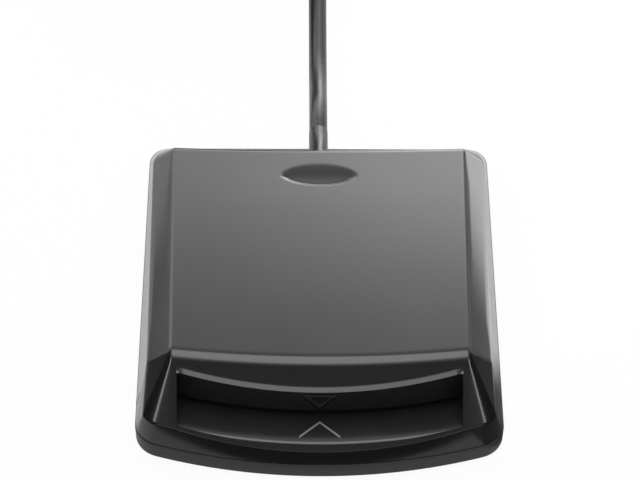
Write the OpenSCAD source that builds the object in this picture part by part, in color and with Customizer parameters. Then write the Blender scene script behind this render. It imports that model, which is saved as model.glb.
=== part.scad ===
// Desktop smart card reader with a fixed cable and a plug.
// Millimetres. The front faces -Y, +Z is up, and the origin is on the desk, midway between the front edge
// and the top's back edge.
// A card goes in from the front, chip down and short edge first.

/* [Body] */
// Width of each cheek beside the mouth, measured at the front plane
cheek_w = 8.65; // [8.2:0.05:10.5]
// How far each side draws in from the front to the back
side_draw = 2.1; // [1.5:0.1:2.5]
// Depth from the front edge to the top face's back edge
body_d = 77.5; // [76:0.5:84]
// Radius of the front edge, seen from above
front_arc_r = 105; // [95:1:130]
// Radius of the two front corners, seen from above
front_corner_r = 6; // [5:0.1:7]
// Radius of the two back corners, seen from above
back_corner_r = 4.5; // [3.5:0.1:5]
// Height of the joint line between the two covers
joint_z = 4.6; // [4.4:0.1:5]
// Height at which the top face and the nose would meet
brow_z = 19.8; // [19:0.1:21]
// Distance of that meeting line from the front edge, on the centre line
brow_set_back = 14.45; // [14:0.05:15]
// Radius of the brow line, seen from above
brow_arc_r = 208; // [180:1:260]
// Rounding radius of the brow
brow_r = 4.2; // [3:0.1:5]
// Height of the top face at its back edge
back_z = 14.4; // [13.5:0.1:15.5]
// Rounding radius of the top face's back edge
back_edge_r = 2.2; // [1.5:0.1:2.5]
// Slope of the nose below the brow, in degrees
nose_slope = 40.5; // [39:0.5:43]
// Distance from the front edge to where the side bevel turns down
bevel_set_back = 18.9; // [17:0.1:21]
// Height of the nose's two lower corners
nose_corner_z = 9.9; // [9.5:0.1:10.2]
// Distance of the top face's side edges from the body's sides, at the front plane
bevel_in = 7.35; // [6.5:0.05:8.5]
// Drop from the top face to the lower edge of the side bevel
bevel_drop = 5.2; // [4.5:0.1:5.5]
// Lean of the side walls, in degrees
side_lean = 12.5; // [11:0.5:14]
// Lean of the front wall, in degrees
front_lean = 9.8; // [9:0.2:11]
// How far the sloping back wall runs out behind the top face's back edge
back_run = 9.3; // [8:0.1:10]
// Wall thickness of the upper cover
wall = 1.7; // [1.5:0.1:2]

/* [Base] */
// Thickness of the base's floor and wall
base_wall = 1.6; // [1.4:0.1:1.8]
// Height of the edge rounding under the base
base_edge = 0.7; // [0.5:0.1:1]
// Height that the feet hold the base above the desk
foot_gap = 0.8; // [0.6:0.1:1]
// Radius of a foot
foot_r = 4; // [3.5:0.1:4.5]
// Depth of a foot's seat in the base
foot_seat = 0.5; // [0.3:0.1:0.7]
// Distance of the feet's centres from the body's sides, at the front plane
foot_side_in = 10.95; // [9.5:0.05:13]
// Distance of the front feet from the front edge
foot_front_in = 16; // [15:0.5:20]
// Distance of the back feet from the back wall
foot_back_in = 13; // [13:0.5:16]
// Width of the label's seat under the base
label_w = 34; // [28:1:38]
// Depth of the label's seat, from front to back
label_d = 22; // [16:1:26]
// Thickness of the label
label_t = 0.15; // [0.1:0.05:0.25]
// Height of the lip that locates the covers
lip_h = 0.9; // [0.6:0.1:1.2]
// Thickness of that lip
lip_t = 0.8; // [0.7:0.1:0.9]

/* [Card mouth] */
// Distance from the card slot's ends to the mouth's sides
slot_end = 1; // [0.7:0.1:1.4]
// Height of the mouth's floor above the desk
mouth_z = 8.6; // [8.4:0.1:9]
// Height of the mouth's roof on the centre line
roof_z = 15.4; // [15:0.1:15.8]
// Radius of the roof's rise towards both ends
roof_arc_r = 258; // [220:1:320]
// Distance of the inner wall from the front edge, on the centre line
mouth_depth = 9.97; // [9.6:0.01:10.4]
// Radius of the inner wall, seen from above
wall_arc_r = 100; // [92:1:120]
// Thickness of the mouth's insert
insert_t = 1.2; // [1.1:0.1:1.4]
// Thickness of the cover's rim round the insert
rim_t = 0.8; // [0.7:0.05:0.9]
// How far the lip over the mouth stands proud of the nose
visor_proud = 0.5; // [0.3:0.1:0.7]
// Height of the lip over the mouth
visor_h = 1.1; // [0.8:0.1:1.3]
// Play between the card's long edges and the slot's ends
card_play = 0.31; // [0.2:0.01:0.5]
// Height of the card slot
slot_h = 1.1; // [1:0.1:1.3]
// Width of the status window in the inner wall
window_w = 6.8; // [5:0.2:8]
// Height of the status window
window_h = 4.2; // [3:0.1:4.6]
// Width of the insertion arrow on the mouth's floor
arrow_w = 8.1; // [6:0.1:10]
// Length of the insertion arrow, from front to back
arrow_l = 3.9; // [3:0.1:4.4]
// Line width of the insertion arrow
arrow_line = 0.4; // [0.3:0.05:0.6]

/* [Finger scoop] */
// Length of the scoop in the top face
scoop_l = 14.4; // [12:0.1:16]
// Width of the scoop
scoop_w = 7.6; // [6:0.1:9]
// Depth of the scoop
scoop_deep = 0.9; // [0.6:0.1:1.1]
// Distance of the scoop's centre from the back wall
scoop_in = 7.6; // [7:0.1:9]

/* [Card] */
// Width of the card
card_w = 53.98; // [53.9:0.01:54.1]
// Thickness of the card
card_t = 0.76; // [0.68:0.01:0.84]
// Distance of the card's stop from the back wall
stop_back_in = 16.33; // [15.8:0.01:16.8]
// Distance of the first contact column from the card's leading edge
first_column = 11.25; // [11:0.05:11.5]
// Distance between the two contact columns
column_step = 7.62; // [7.5:0.01:7.7]
// Distance between contacts in a column
contact_pitch = 2.54; // [2.5:0.01:2.6]
// Distance of the outermost contact from the card's long edge
contact_edge = 20.08; // [19.9:0.01:20.2]

/* [Circuit board] */
// Thickness of the circuit board
board_t = 1.6; // [1.4:0.1:1.7]
// How far the board stands out at the sides of the card connector
board_over = 0.2; // [0:0.05:0.25]
// Distance of the board's front edge from the mouth's inner wall
board_front_in = 6.3; // [6:0.1:8]
// Distance of the board's back edge from the back wall
board_back_in = 7; // [6.5:0.5:8]
// Height of the posts that carry the board, above the base's floor
post_h = 2; // [1.8:0.1:2.2]

/* [Screws] */
// Shaft radius of a cover screw
screw_r = 1; // [0.9:0.05:1.1]
// Head radius of a cover screw
screw_head_r = 1.9; // [1.8:0.05:2]
// Distance of the front cover screws from the front edge
screw_front_in = 20.5; // [20:0.5:22]
// Distance of the back cover screws from the back wall
screw_back_in = 7; // [6.5:0.1:7.5]
// Shaft radius of a board screw
board_screw_r = 0.8; // [0.7:0.05:0.9]
// Head radius of a board screw
board_screw_head_r = 1.5; // [1.4:0.05:1.7]

/* [Cable] */
// Outer diameter of the cable
cable_d = 3.7; // [3.5:0.1:4]
// Height of the cable's centre at the back wall
exit_z = 6.3; // [6.2:0.1:6.6]
// Length of the strain relief behind the base's back edge
relief_l = 3; // [2.5:0.5:4]
// Radius of the coil's outer turn, to the cable's centre
coil_outer_r = 26.1; // [26.1:0.1:28]
// Distance between neighbouring turns
coil_pitch = 4.15; // [4.15:0.05:4.3]
// Turns in one layer of the coil
layer_turns = 2.6; // [2.5:0.05:2.7]
// Layers of the coil
coil_layers = 4; // [4:2:4]
// Distance of the coil's centre from the back wall
coil_behind = 89.5; // [89:0.5:96]
// Thickness of the tie round the coil
tie_t = 0.6; // [0.5:0.1:0.8]
// Width of the tie
tie_w = 9; // [6:0.5:12]

/* [Plug] */
// Width of the plug's metal shell
shell_w = 12; // [11.8:0.1:12.2]
// Height of the plug's metal shell
shell_h = 4.5; // [4.4:0.1:4.6]
// Length of shell that shows
shell_l = 12.5; // [11.75:0.25:14]
// Sheet thickness of the shell
shell_t = 0.3; // [0.25:0.05:0.4]
// Width of the plug's grip
grip_w = 15.6; // [15:0.1:16.5]
// Height of the plug's grip
grip_h = 7.8; // [7:0.1:8]
// Length of the plug's grip
grip_l = 20; // [18:0.5:22]
// Length of the plug's tapered boot
plug_boot_l = 9; // [8:0.5:10]

/* [Hidden] */

// Overrun of a cut past the face that it opens
cut = 0.5;
// Gap between two pieces that fit together
fit = 0.1;
// Gap between two pieces that only lie side by side
play = 0.3;
// Facets of a bore or a shaft, and of a small one
round_fn = 48;
small_fn = 24;

// Steps along the front edge, round a corner and round an edge
arc_steps = 18;
corner_steps = 5;
edge_steps = 4;

// Widths that follow from the card, outwards
slot_w = card_w + 2 * card_play;
mouth_w = slot_w + 2 * slot_end;
body_w = mouth_w + 2 * cheek_w;
body_back_w = body_w - 2 * side_draw;
top_w = body_w - 2 * bevel_in;
foot_x = body_w / 2 - foot_side_in;
channel_w = card_w + 4 * fit;
frame_side_t = 1.11;
connector_w = channel_w + 2 * frame_side_t;
board_w = connector_w + 2 * board_over;
boss_r = 2.6;
screw_x = connector_w / 2 + fit + boss_r;

// Places that follow from the sizes above
front_y = -body_d / 2;
back_y = body_d / 2;
brow_y = front_y + brow_set_back;
bevel_y = front_y + bevel_set_back;
top_slope = atan((brow_z - back_z) / (back_y - brow_y));
foot_back_y = back_y + back_run;
back_lean = atan(back_run / (back_z - joint_z));
side_taper = (body_w - body_back_w) / 2 / body_d;
wall_y = front_y + mouth_depth;
floor_z = foot_gap + base_wall;
board_z = floor_z + post_h;
board_top = board_z + board_t;
board_front_y = wall_y + board_front_in;
board_back_y = back_y - board_back_in;
slot_top = mouth_z + slot_h;
stop_y = back_y - stop_back_in;

function half_w(y) = body_w / 2 - side_taper * (y - front_y);
function top_z(y) = back_z + (back_y - y) * tan(top_slope);
function sagitta(r, x) = r - sqrt(r * r - x * x);
// Shift of the edge between two faces, given their normals, when both move in by one
function mitre(n1, n2) = (n1 + n2) / (1 + n1 * n2);

// Outline at the joint line: points and their outward directions, from the front left, anticlockwise
front_mid = [0, front_y + front_arc_r];
front_corner_x = half_w(front_y + 2 * front_corner_r) - front_corner_r;
front_corner = [front_corner_x,
  front_mid.y - sqrt(pow(front_arc_r - front_corner_r, 2) - pow(front_corner_x, 2))];
back_corner = [half_w(foot_back_y) - back_corner_r, foot_back_y - back_corner_r];
corner_turn = atan2(front_corner.y - front_mid.y, front_corner.x);
side_turn = atan(side_taper);
function arc(c, r, a0, a1, n) =
  [for (i = [0:n]) let (a = a0 + (a1 - a0) * i / n) [c.x + r * cos(a), c.y + r * sin(a), cos(a), sin(a)]];
function mirrored(list) =
  [for (i = [len(list) - 1:-1:0]) [-list[i][0], list[i][1], -list[i][2], list[i][3]]];
right_front = arc(front_corner, front_corner_r, corner_turn, side_turn, corner_steps);
right_back = arc(back_corner, back_corner_r, side_turn, 90, corner_steps);
outline = concat(
  arc(front_mid, front_arc_r, -180 - corner_turn, corner_turn, arc_steps),
  right_front, right_back, mirrored(right_back), mirrored(right_front));
function inset(g) = [for (p = outline) [p[0] - g * p[2], p[1] - g * p[3]]];

// Face normals in the side view of each edge: outward first, then up
wall_normal = [cos(side_lean), sin(side_lean)];
mid_bevel_z = top_z(0) - bevel_drop;
bevel_slope = atan(bevel_drop
  / (half_w(0) - (mid_bevel_z - joint_z) * tan(side_lean) - top_w / 2));
low_shift = mitre(wall_normal, [sin(bevel_slope), cos(bevel_slope)]);
crease_shift = mitre([cos(front_lean), sin(front_lean)], [sin(nose_slope), cos(nose_slope)]);

// Height at which the nose meets the front wall over a point of the outline
function crease_z(p) =
  let (s = sagitta(brow_arc_r, p[0]), h = brow_z - s * tan(top_slope))
  min(nose_corner_z, (p[1] - joint_z * tan(front_lean) - brow_y - s + h / tan(nose_slope))
    / (1 / tan(nose_slope) - tan(front_lean)));
front_share = 0.45;
function joint_ring(g) = [for (p = outline)
  [p[0] - g * p[2], p[1] - g * p[3], joint_z - (g > 0 ? cut : 0)]];
function crease_ring(g) = [for (p = outline) if (p[3] < -front_share)
  let (z = crease_z(p), k = (z - joint_z) * tan(front_lean) + g * crease_shift.x)
  [p[0] - k * p[2], p[1] - k * p[3], z - g * crease_shift.y]];
function bevel_end(g, side) =
  let (z = top_z(bevel_y) - bevel_drop, k = (z - joint_z) * tan(side_lean) + g * low_shift.x)
  [side * (half_w(bevel_y) - k), bevel_y, z - g * low_shift.y];
function bevel_back(g) = [for (p = outline) if (p[3] > -side_taper && p[1] > 0)
  let (run = p[3] * tan(back_lean) * tan(top_slope),
       z = (top_z(p[1]) - bevel_drop - joint_z * run) / (1 - run), lift = z - joint_z)
  [p[0] - p[2] * (lift * tan(side_lean) + g * low_shift.x),
   p[1] - p[3] * (lift * tan(back_lean) + g * (1 / cos(back_lean) - low_shift.y * tan(back_lean))),
   z - g * low_shift.y]];

// The brow's rounding: its centre in the side view, and its points across the width
top_normal = [sin(top_slope), cos(top_slope)];
nose_normal = [-sin(nose_slope), cos(nose_slope)];
brow_centre = [brow_y, brow_z] - brow_r * mitre(top_normal, nose_normal);
brow_across = 12;
function brow_ring(g) = [for (i = [0:brow_across], j = [0:edge_steps])
  let (x = (top_w / 2 - g * tan(bevel_slope / 2)) * (2 * i / brow_across - 1),
       s = sagitta(brow_arc_r, x),
       a = -top_slope + (nose_slope + top_slope) * j / edge_steps)
  [x, brow_centre.x + s - (brow_r - g) * sin(a),
   brow_centre.y - s * tan(top_slope) + (brow_r - g) * cos(a)]];
back_edge_centre = [back_y, back_z] - back_edge_r * mitre(top_normal, [cos(back_lean), sin(back_lean)]);
function back_ring(g) = [for (side = [-1, 1], j = [0:edge_steps])
  let (a = top_slope + (90 - back_lean - top_slope) * j / edge_steps)
  [side * (top_w / 2 - g * tan(bevel_slope / 2)),
   back_edge_centre.x + (back_edge_r - g) * sin(a),
   back_edge_centre.y + (back_edge_r - g) * cos(a)]];

module point_hull(points) {
  hull() polyhedron(points = points, faces = [[for (i = [0:len(points) - 1]) i]]);
}

// Outer shape of the upper cover, moved in by g all round
module form(g) {
  point_hull(concat(joint_ring(g), crease_ring(g), bevel_back(g), brow_ring(g), back_ring(g),
    [bevel_end(g, -1), bevel_end(g, 1)]));
}

// Space of the card mouth, grown by g at the sides, the back, the floor and the roof
module mouth_space(g = 0) {
  reach = body_d / 3;
  intersection() {
    translate([0, 0, mouth_z - g])
      linear_extrude(brow_z)
        difference() {
          translate([-mouth_w / 2 - g, front_y - cut]) square([mouth_w + 2 * g, reach]);
          translate([0, wall_y + wall_arc_r]) circle(r = wall_arc_r - g, $fn = 360);
        }
    translate([0, front_y - cut, 0])
      rotate([90, 0, 0])
        mirror([0, 0, 1])
          linear_extrude(reach)
            difference() {
              translate([-body_w / 2, 0]) square([body_w, brow_z + cut]);
              translate([0, roof_z + g + roof_arc_r]) circle(r = roof_arc_r, $fn = 720);
            }
  }
}

screw_front_y = front_y + screw_front_in;
screw_back_y = back_y - screw_back_in;
screw_places = [for (x = [-screw_x, screw_x], y = [screw_front_y, screw_back_y]) [x, y, 0]];
screw_bite = 6;
screw_head_h = 1.3;
screw_head_z = foot_gap + base_wall - screw_head_h;

// Cable exit: the strain relief, grown by g, seen along the cable
relief_r = 2.4;
relief_flange_r = 3.7;
relief_flange_t = 1.5;
relief_neck = 7.9;
relief_in_y = foot_back_y - relief_neck;
module relief_body(g) {
  translate([0, relief_in_y - relief_flange_t - g, exit_z])
    rotate([-90, 0, 0])
      cylinder(r = relief_flange_r + g, h = relief_flange_t + 2 * g, $fn = round_fn);
  translate([0, relief_in_y, exit_z])
    rotate([-90, 0, 0])
      cylinder(r = relief_r + g, h = relief_neck + (g > 0 ? cut : 0), $fn = round_fn);
}

module visor() {
  intersection() {
    form(-visor_proud);
    difference() {
      mouth_space(visor_h);
      mouth_space(0);
    }
    translate([-mouth_w / 2, front_y - cut, roof_z - cut])
      cube([mouth_w, mouth_depth + wall, brow_z]);
  }
}

module scoop() {
  translate([0, back_y - scoop_in, top_z(back_y - scoop_in)])
    rotate([-top_slope, 0, 0])
      scale([scoop_l / 2, scoop_w / 2, scoop_deep])
        sphere(r = 1, $fn = 40);
}

module upper_cover() {
  color([0.05, 0.05, 0.055])
    difference() {
      union() {
        difference() {
          form(0);
          form(wall);
        }
        visor();
        intersection() {
          form(rim_t);
          for (p = screw_places)
            translate(p + [0, 0, joint_z])
              cylinder(r = boss_r, h = brow_z, $fn = round_fn);
        }
      }
      intersection() {
        mouth_space(insert_t + fit);
        form(rim_t);
      }
      mouth_space();
      for (p = screw_places)
        translate(p + [0, 0, joint_z - cut])
          cylinder(r = screw_r + fit / 2, h = screw_bite + cut + fit, $fn = small_fn);
      relief_body(fit);
      scoop();
    }
}

// Base: the tray under the joint line, with its locating lip
lip_in = wall + 2 * lip_h * tan(side_lean);
column_r = 2.9;
post_r = 2.2;
post_side_in = 4.5;
post_x = board_w / 2 - post_side_in;
post_front_in = 4;
post_back_in = 2.6;
post_y = [board_front_y + post_front_in, board_back_y - post_back_in];
feet_places = [for (x = [-foot_x, foot_x], y = [front_y + foot_front_in, back_y - foot_back_in]) [x, y, 0]];

module lower_cover() {
  edge = base_edge;
  color([0.13, 0.13, 0.14])
    difference() {
      union() {
        difference() {
          point_hull(concat(
            [for (p = inset(0)) [p.x, p.y, joint_z]],
            [for (p = inset(edge / 4)) [p.x, p.y, foot_gap + edge]],
            [for (p = inset(edge)) [p.x, p.y, foot_gap]]));
          translate([0, 0, floor_z])
            linear_extrude(joint_z)
              polygon(inset(lip_in + lip_t));
        }
        intersection() {
          translate([0, 0, joint_z - cut])
            linear_extrude(lip_h + cut)
              difference() {
                polygon(inset(lip_in));
                polygon(inset(lip_in + lip_t));
              }
          form(wall + fit);
        }
        for (p = screw_places)
          translate(p + [0, 0, foot_gap + edge])
            cylinder(r = column_r, h = joint_z - foot_gap - edge, $fn = round_fn);
        for (x = [-post_x, post_x], y = post_y)
          translate([x, y, floor_z - cut])
            cylinder(r = post_r, h = post_h + cut, $fn = round_fn);
      }
      for (p = screw_places) {
        translate(p + [0, 0, joint_z])
          cylinder(r = boss_r + fit, h = lip_h + cut, $fn = round_fn);
        translate(p)
          cylinder(r = screw_r + fit, h = joint_z + cut, $fn = small_fn);
        translate(p)
          cylinder(r = screw_head_r + fit, h = screw_head_z + screw_head_h, $fn = round_fn);
      }
      for (p = feet_places)
        translate(p)
          cylinder(r = foot_r + fit, h = foot_gap + foot_seat, $fn = round_fn);
      for (x = [-post_x, post_x])
        translate([x, post_y[1], floor_z])
          cylinder(r = board_screw_r + fit / 2, h = post_h + cut, $fn = small_fn);
      translate([-label_w / 2, -label_d / 2, 0])
        cube([label_w, label_d, foot_gap + label_t + fit]);
      relief_body(fit);
    }
}

window_z = slot_top + fit;
module window_outline(g) {
  offset(delta = g)
    polygon([[-window_w / 2, window_z + window_h], [window_w / 2, window_z + window_h], [0, window_z]]);
}

arrow_y = wall_y - mouth_depth / 2 + insert_t;
arrow_deep = 0.3;
module arrow_outline(g) {
  slant = arrow_line * sqrt(1 + pow(2 * arrow_l / arrow_w, 2));
  translate([0, arrow_y - arrow_l / 2])
    offset(delta = g)
      polygon([[-arrow_w / 2, 0], [0, arrow_l], [arrow_w / 2, 0],
        [arrow_w / 2, -slant], [0, arrow_l - slant], [-arrow_w / 2, -slant]]);
}

module mouth_insert() {
  color([0.1, 0.1, 0.105])
    difference() {
      intersection() {
        mouth_space(insert_t);
        form(rim_t + fit);
      }
      mouth_space();
      translate([-slot_w / 2, wall_y - cut, mouth_z])
        cube([slot_w, mouth_depth, slot_h]);
      translate([0, wall_y + mouth_depth / 2, 0])
        rotate([90, 0, 0])
          linear_extrude(mouth_depth)
            window_outline(fit / 2);
      translate([0, 0, mouth_z - arrow_deep])
        linear_extrude(arrow_deep + cut)
          arrow_outline(fit / 2);
    }
}

module insertion_arrow() {
  color([0.6, 0.6, 0.62])
    translate([0, 0, mouth_z - arrow_deep])
      linear_extrude(arrow_deep + fit / 4)
        arrow_outline(0);
}

// Card connector: a frame on the board, a sheet cover over it, and two rows of contacts
frame_top = mouth_z - fit;
plate_z = slot_top + fit;
plate_t = 0.3;
stop_t = 2.6;
column_y = [stop_y - first_column - column_step, stop_y - first_column];
contact_x = [for (i = [0:3]) contact_edge - card_w / 2 + i * contact_pitch];
spring_w = 0.8;
spring_t = 0.2;
spring_arm = 5.6;
spring_tip = 0.9;
spring_root_z = board_top + 1.2;
spring_lift = 0.55;
window_side = 1.2;
tail_foot = 1.4;
window_rear = 0.5;

// Switch that tells that the card is home: a moving leaf and a fixed blade behind it
leaf_x = 14;
leaf_arm = 9;
leaf_t = 0.2;
leaf_h = 1;
leaf_push = 1.2;
leaf_y = stop_y - leaf_push;
leaf_foot = 1.2;
pocket_w = leaf_arm + 2 * leaf_foot;

// Light guide over the connector: from the lamp behind the card stop to the window in the mouth
guide_w = 3;
guide_h = 1.6;
guide_z = plate_z + plate_t + play;
led_w = 1.6;
led_h = 0.8;
guide_leg_y = stop_y + stop_t + fit;
guide_leg_d = 1.8;

module connector_frame() {
  color([0.08, 0.08, 0.08])
    difference() {
      translate([-connector_w / 2, board_front_y, board_top])
        cube([connector_w, stop_y + stop_t - board_front_y, plate_z - board_top]);
      translate([-channel_w / 2, board_front_y - cut, frame_top])
        cube([channel_w, stop_y - board_front_y + cut, plate_z]);
      for (y = column_y)
        translate([contact_x[0] - spring_w / 2 - window_side, y - spring_arm - tail_foot - fit, board_top - cut])
          cube([contact_x[3] - contact_x[0] + spring_w + 2 * window_side,
            spring_arm + tail_foot + spring_tip + window_rear, plate_z]);
      translate([leaf_x - leaf_arm - leaf_foot, leaf_y - leaf_foot, frame_top - leaf_h / 2])
        cube([pocket_w, leaf_foot + leaf_push + 2 * leaf_foot, plate_z]);
    }
}

module connector_cover_plate() {
  hook_w = 4;
  hook_t = 0.3;
  frame_l = stop_y + stop_t - board_front_y;
  hook_y = [board_front_y + frame_l / 4, board_front_y + 3 * frame_l / 4];
  color([0.72, 0.72, 0.74]) {
    difference() {
      translate([-connector_w / 2, board_front_y, plate_z])
        cube([connector_w, frame_l, plate_t]);
      translate([0, column_y[0], plate_z - cut])
        cylinder(r = hook_w / 2, h = plate_t + 2 * cut, $fn = round_fn);
    }
    for (side = [-1, 1], y = hook_y)
      translate([side * (connector_w / 2 + hook_t / 2) - hook_t / 2, y - hook_w / 2, frame_top - hook_w / 4])
        cube([hook_t, hook_w, plate_z + plate_t - frame_top + hook_w / 4]);
  }
}

// One contact beam, bent up to its crest over y
module contact_beam(y) {
  crest = mouth_z + spring_lift;
  root = y - spring_arm;
  slope = (crest - spring_root_z) / spring_arm;
  rotate([90, 0, 90])
    linear_extrude(spring_w, center = true)
      polygon([[root, spring_root_z], [y, crest - spring_t], [y + spring_tip, crest - spring_t - spring_tip / 2],
        [y + spring_tip, crest - spring_tip / 2], [y, crest], [root, spring_root_z + spring_t]]);
}
module contact_row(y) {
  color([0.83, 0.68, 0.3])
    for (x = contact_x)
      translate([x, 0, 0]) contact_beam(y);
}
module contact_springs_front() { contact_row(column_y[0]); }
module contact_springs_rear() { contact_row(column_y[1]); }

module contact_tails() {
  color([0.8, 0.66, 0.32])
    for (x = contact_x, y = column_y)
      translate([x, y - spring_arm, 0])
        rotate([90, 0, 90])
          linear_extrude(spring_w, center = true)
            polygon([[-tail_foot, board_top], [spring_t, board_top], [spring_t, spring_root_z - fit / 2],
              [0, spring_root_z - fit / 2], [0, board_top + spring_t], [-tail_foot, board_top + spring_t]]);
}

module card_switch_leaf() {
  color([0.83, 0.68, 0.3])
    translate([leaf_x - leaf_arm, leaf_y - leaf_t / 2, mouth_z])
      cube([leaf_arm, leaf_t, leaf_h]);
}

module card_switch_contact() {
  color([0.83, 0.68, 0.3])
    translate([leaf_x - leaf_arm, stop_y + leaf_t, frame_top - leaf_h / 2])
      cube([leaf_arm / 2, leaf_t, leaf_h + leaf_h / 2]);
}

module light_guide() {
  front = wall_y + insert_t + fit;
  back = guide_leg_y + guide_leg_d;
  color([0.2, 0.2, 0.22]) {
    translate([0, front, 0])
      rotate([90, 0, 0])
        linear_extrude(front - wall_y - fit / 2)
          window_outline(0);
    translate([-guide_w / 2, front, guide_z])
      cube([guide_w, back - front, guide_h]);
    translate([-guide_w / 2, guide_leg_y, board_top + led_h + fit])
      cube([guide_w, guide_leg_d, guide_z + guide_h - board_top - led_h - fit]);
  }
}

module status_led() {
  color([0.9, 0.9, 0.8])
    translate([-led_w / 2, guide_leg_y + guide_leg_d / 2 - led_h, board_top]) {
      cube([led_w, 2 * led_h, led_h / 2]);
      translate([led_w / 2, led_h, led_h / 2])
        cylinder(r = led_h / 2, h = led_h / 2, $fn = small_fn);
    }
}

module circuit_board() {
  color([0.08, 0.28, 0.16])
    difference() {
      translate([-board_w / 2, board_front_y, board_z])
        cube([board_w, board_back_y - board_front_y, board_t]);
      for (x = [-post_x, post_x])
        translate([x, post_y[1], board_z - cut])
          cylinder(r = board_screw_r + fit, h = board_t + 2 * cut, $fn = small_fn);
      for (p = screw_places)
        translate(p)
          cylinder(r = column_r + play, h = brow_z, $fn = round_fn);
    }
}

// Parts under the board, hanging from its lower face
chip_w = 7;
chip_t = 0.9;
chip_x = 8;
pin_w = 0.3;
pin_out = 0.9;
pin_step = 0.8;
pins_a_side = 7;
small_part = [1.6, 0.8, 0.7];
crystal_size = [5, 3.2, 1];
module controller_chip() {
  color([0.07, 0.07, 0.07])
    translate([chip_x, 0, board_z]) {
      translate([-chip_w / 2, -chip_w / 2, -chip_t]) cube([chip_w, chip_w, chip_t - fit]);
      for (turn = [0:3], i = [0:pins_a_side - 1])
        rotate([0, 0, 90 * turn])
          translate([chip_w / 2 - pin_w, (i - (pins_a_side - 1) / 2) * pin_step - pin_w / 2, -pin_w])
            cube([pin_w + pin_out, pin_w, pin_w]);
    }
}
module crystal() {
  color([0.75, 0.75, 0.76])
    translate([chip_x - crystal_size.x / 2, chip_w + crystal_size.y / 2, board_z - crystal_size.z])
      cube(crystal_size);
}
module small_parts(places, size) {
  for (p = places)
    translate([p.x - size.x / 2, p.y - size.y / 2, board_z - size.z])
      cube(size);
}
part_step = 3;
module capacitors() {
  color([0.72, 0.6, 0.45])
    small_parts([for (i = [-2:2]) [chip_x + i * part_step, -chip_w - part_step / 2]], small_part);
}
module resistors() {
  color([0.1, 0.1, 0.1])
    small_parts([for (i = [-1:2]) [-part_step, i * part_step]], small_part);
}

// Cable header on the board and the socket on the ends of the wires
header_pins = 4;
wire_step = 2;
header_w = header_pins * wire_step + wire_step;
header_d = 3.4;
header_h = 3;
header_wall = 0.6;
header_y = board_back_y - header_d / 2 - fit;
socket_h = 3.6;
wire_d = 0.9;
socket_z = board_top + header_wall + fit;
module cable_header() {
  color([0.92, 0.9, 0.84])
    difference() {
      translate([-header_w / 2, header_y - header_d / 2, board_top])
        cube([header_w, header_d, header_h]);
      translate([-header_w / 2 + header_wall, header_y - header_d / 2 + header_wall, board_top + header_wall])
        cube([header_w - 2 * header_wall, header_d - 2 * header_wall, header_h]);
    }
}
module cable_socket() {
  gap = header_wall + fit;
  color([0.9, 0.88, 0.82])
    translate([-header_w / 2 + gap, header_y - header_d / 2 + gap, socket_z])
      cube([header_w - 2 * gap, header_d - 2 * gap, socket_h]);
}

// A tube along a list of points, with flat ends square to its route
function unit(v) = v / norm(v);
function route_turn(p, i) =
  unit(i == 0 ? p[1] - p[0] : i == len(p) - 1 ? p[i] - p[i - 1]
    : unit(p[i] - p[i - 1]) + unit(p[i + 1] - p[i]));
module tube(route, r, sides, up = [0, 0, 1]) {
  last = len(route) - 1;
  points = [for (i = [0:last])
    let (t = route_turn(route, i), s = unit(cross(t, up)), u = cross(t, s))
    for (k = [0:sides - 1])
      route[i] + r * (cos(360 * k / sides) * s + sin(360 * k / sides) * u)];
  polyhedron(points = points, faces = concat(
    [[for (k = [0:sides - 1]) k]],
    [[for (k = [sides - 1:-1:0]) last * sides + k]],
    [for (i = [0:last - 1], k = [0:sides - 1])
      let (a = i * sides + k, b = i * sides + (k + 1) % sides)
      [a, a + sides, b + sides]],
    [for (i = [0:last - 1], k = [0:sides - 1])
      let (a = i * sides + k, b = i * sides + (k + 1) % sides)
      [a, b + sides, b]]));
}

// Wires: out of the socket's back, over the header's wall and down to the strain relief
wire_sides = 8;
wire_steps = 8;
wire_out_bend = 2.6;
wire_in_bend = 1.2;
function bezier(p, t) = pow(1 - t, 3) * p[0] + 3 * t * pow(1 - t, 2) * p[1]
  + 3 * t * t * (1 - t) * p[2] + t * t * t * p[3];
module wire(i) {
  stub = [0, wire_d / 2, 0];
  start = [(i - (header_pins - 1) / 2) * wire_step, header_y + header_d / 2 - header_wall - fit,
    socket_z + socket_h - wire_d / 2];
  finish = [(i - (header_pins - 1) / 2) * (wire_d + fit), relief_in_y - relief_flange_t, exit_z];
  bend = [start + stub, start + [0, wire_out_bend, 0], finish - [0, wire_in_bend, 0], finish - stub];
  tube(concat([start], [for (k = [0:wire_steps]) bezier(bend, k / wire_steps)], [finish]),
    wire_d / 2, wire_sides, [1, 0, 0]);
}
module wire_red() { color([0.75, 0.08, 0.06]) wire(0); }
module wire_white() { color([0.9, 0.9, 0.88]) wire(1); }
module wire_green() { color([0.1, 0.45, 0.15]) wire(2); }
module wire_black() { color([0.05, 0.05, 0.05]) wire(3); }

relief_root_r = 2.3;
relief_end_r = 2.1;
relief_groove = 0.3;
relief_rings = 3;
module strain_relief() {
  step = relief_l / (2 * relief_rings);
  color([0.1, 0.1, 0.1]) {
    relief_body(0);
    difference() {
      translate([0, foot_back_y, exit_z])
        rotate([-90, 0, 0])
          cylinder(r1 = relief_root_r, r2 = relief_end_r, h = relief_l, $fn = round_fn);
      for (i = [1:relief_rings - 1])
        translate([0, foot_back_y + 2 * i * step - step / 2, exit_z])
          rotate([-90, 0, 0])
            difference() {
              cylinder(r = relief_root_r + cut, h = step, $fn = round_fn);
              translate([0, 0, -cut])
                cylinder(r = relief_end_r - relief_groove / 2, h = step + 2 * cut, $fn = round_fn);
            }
    }
  }
}

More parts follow.
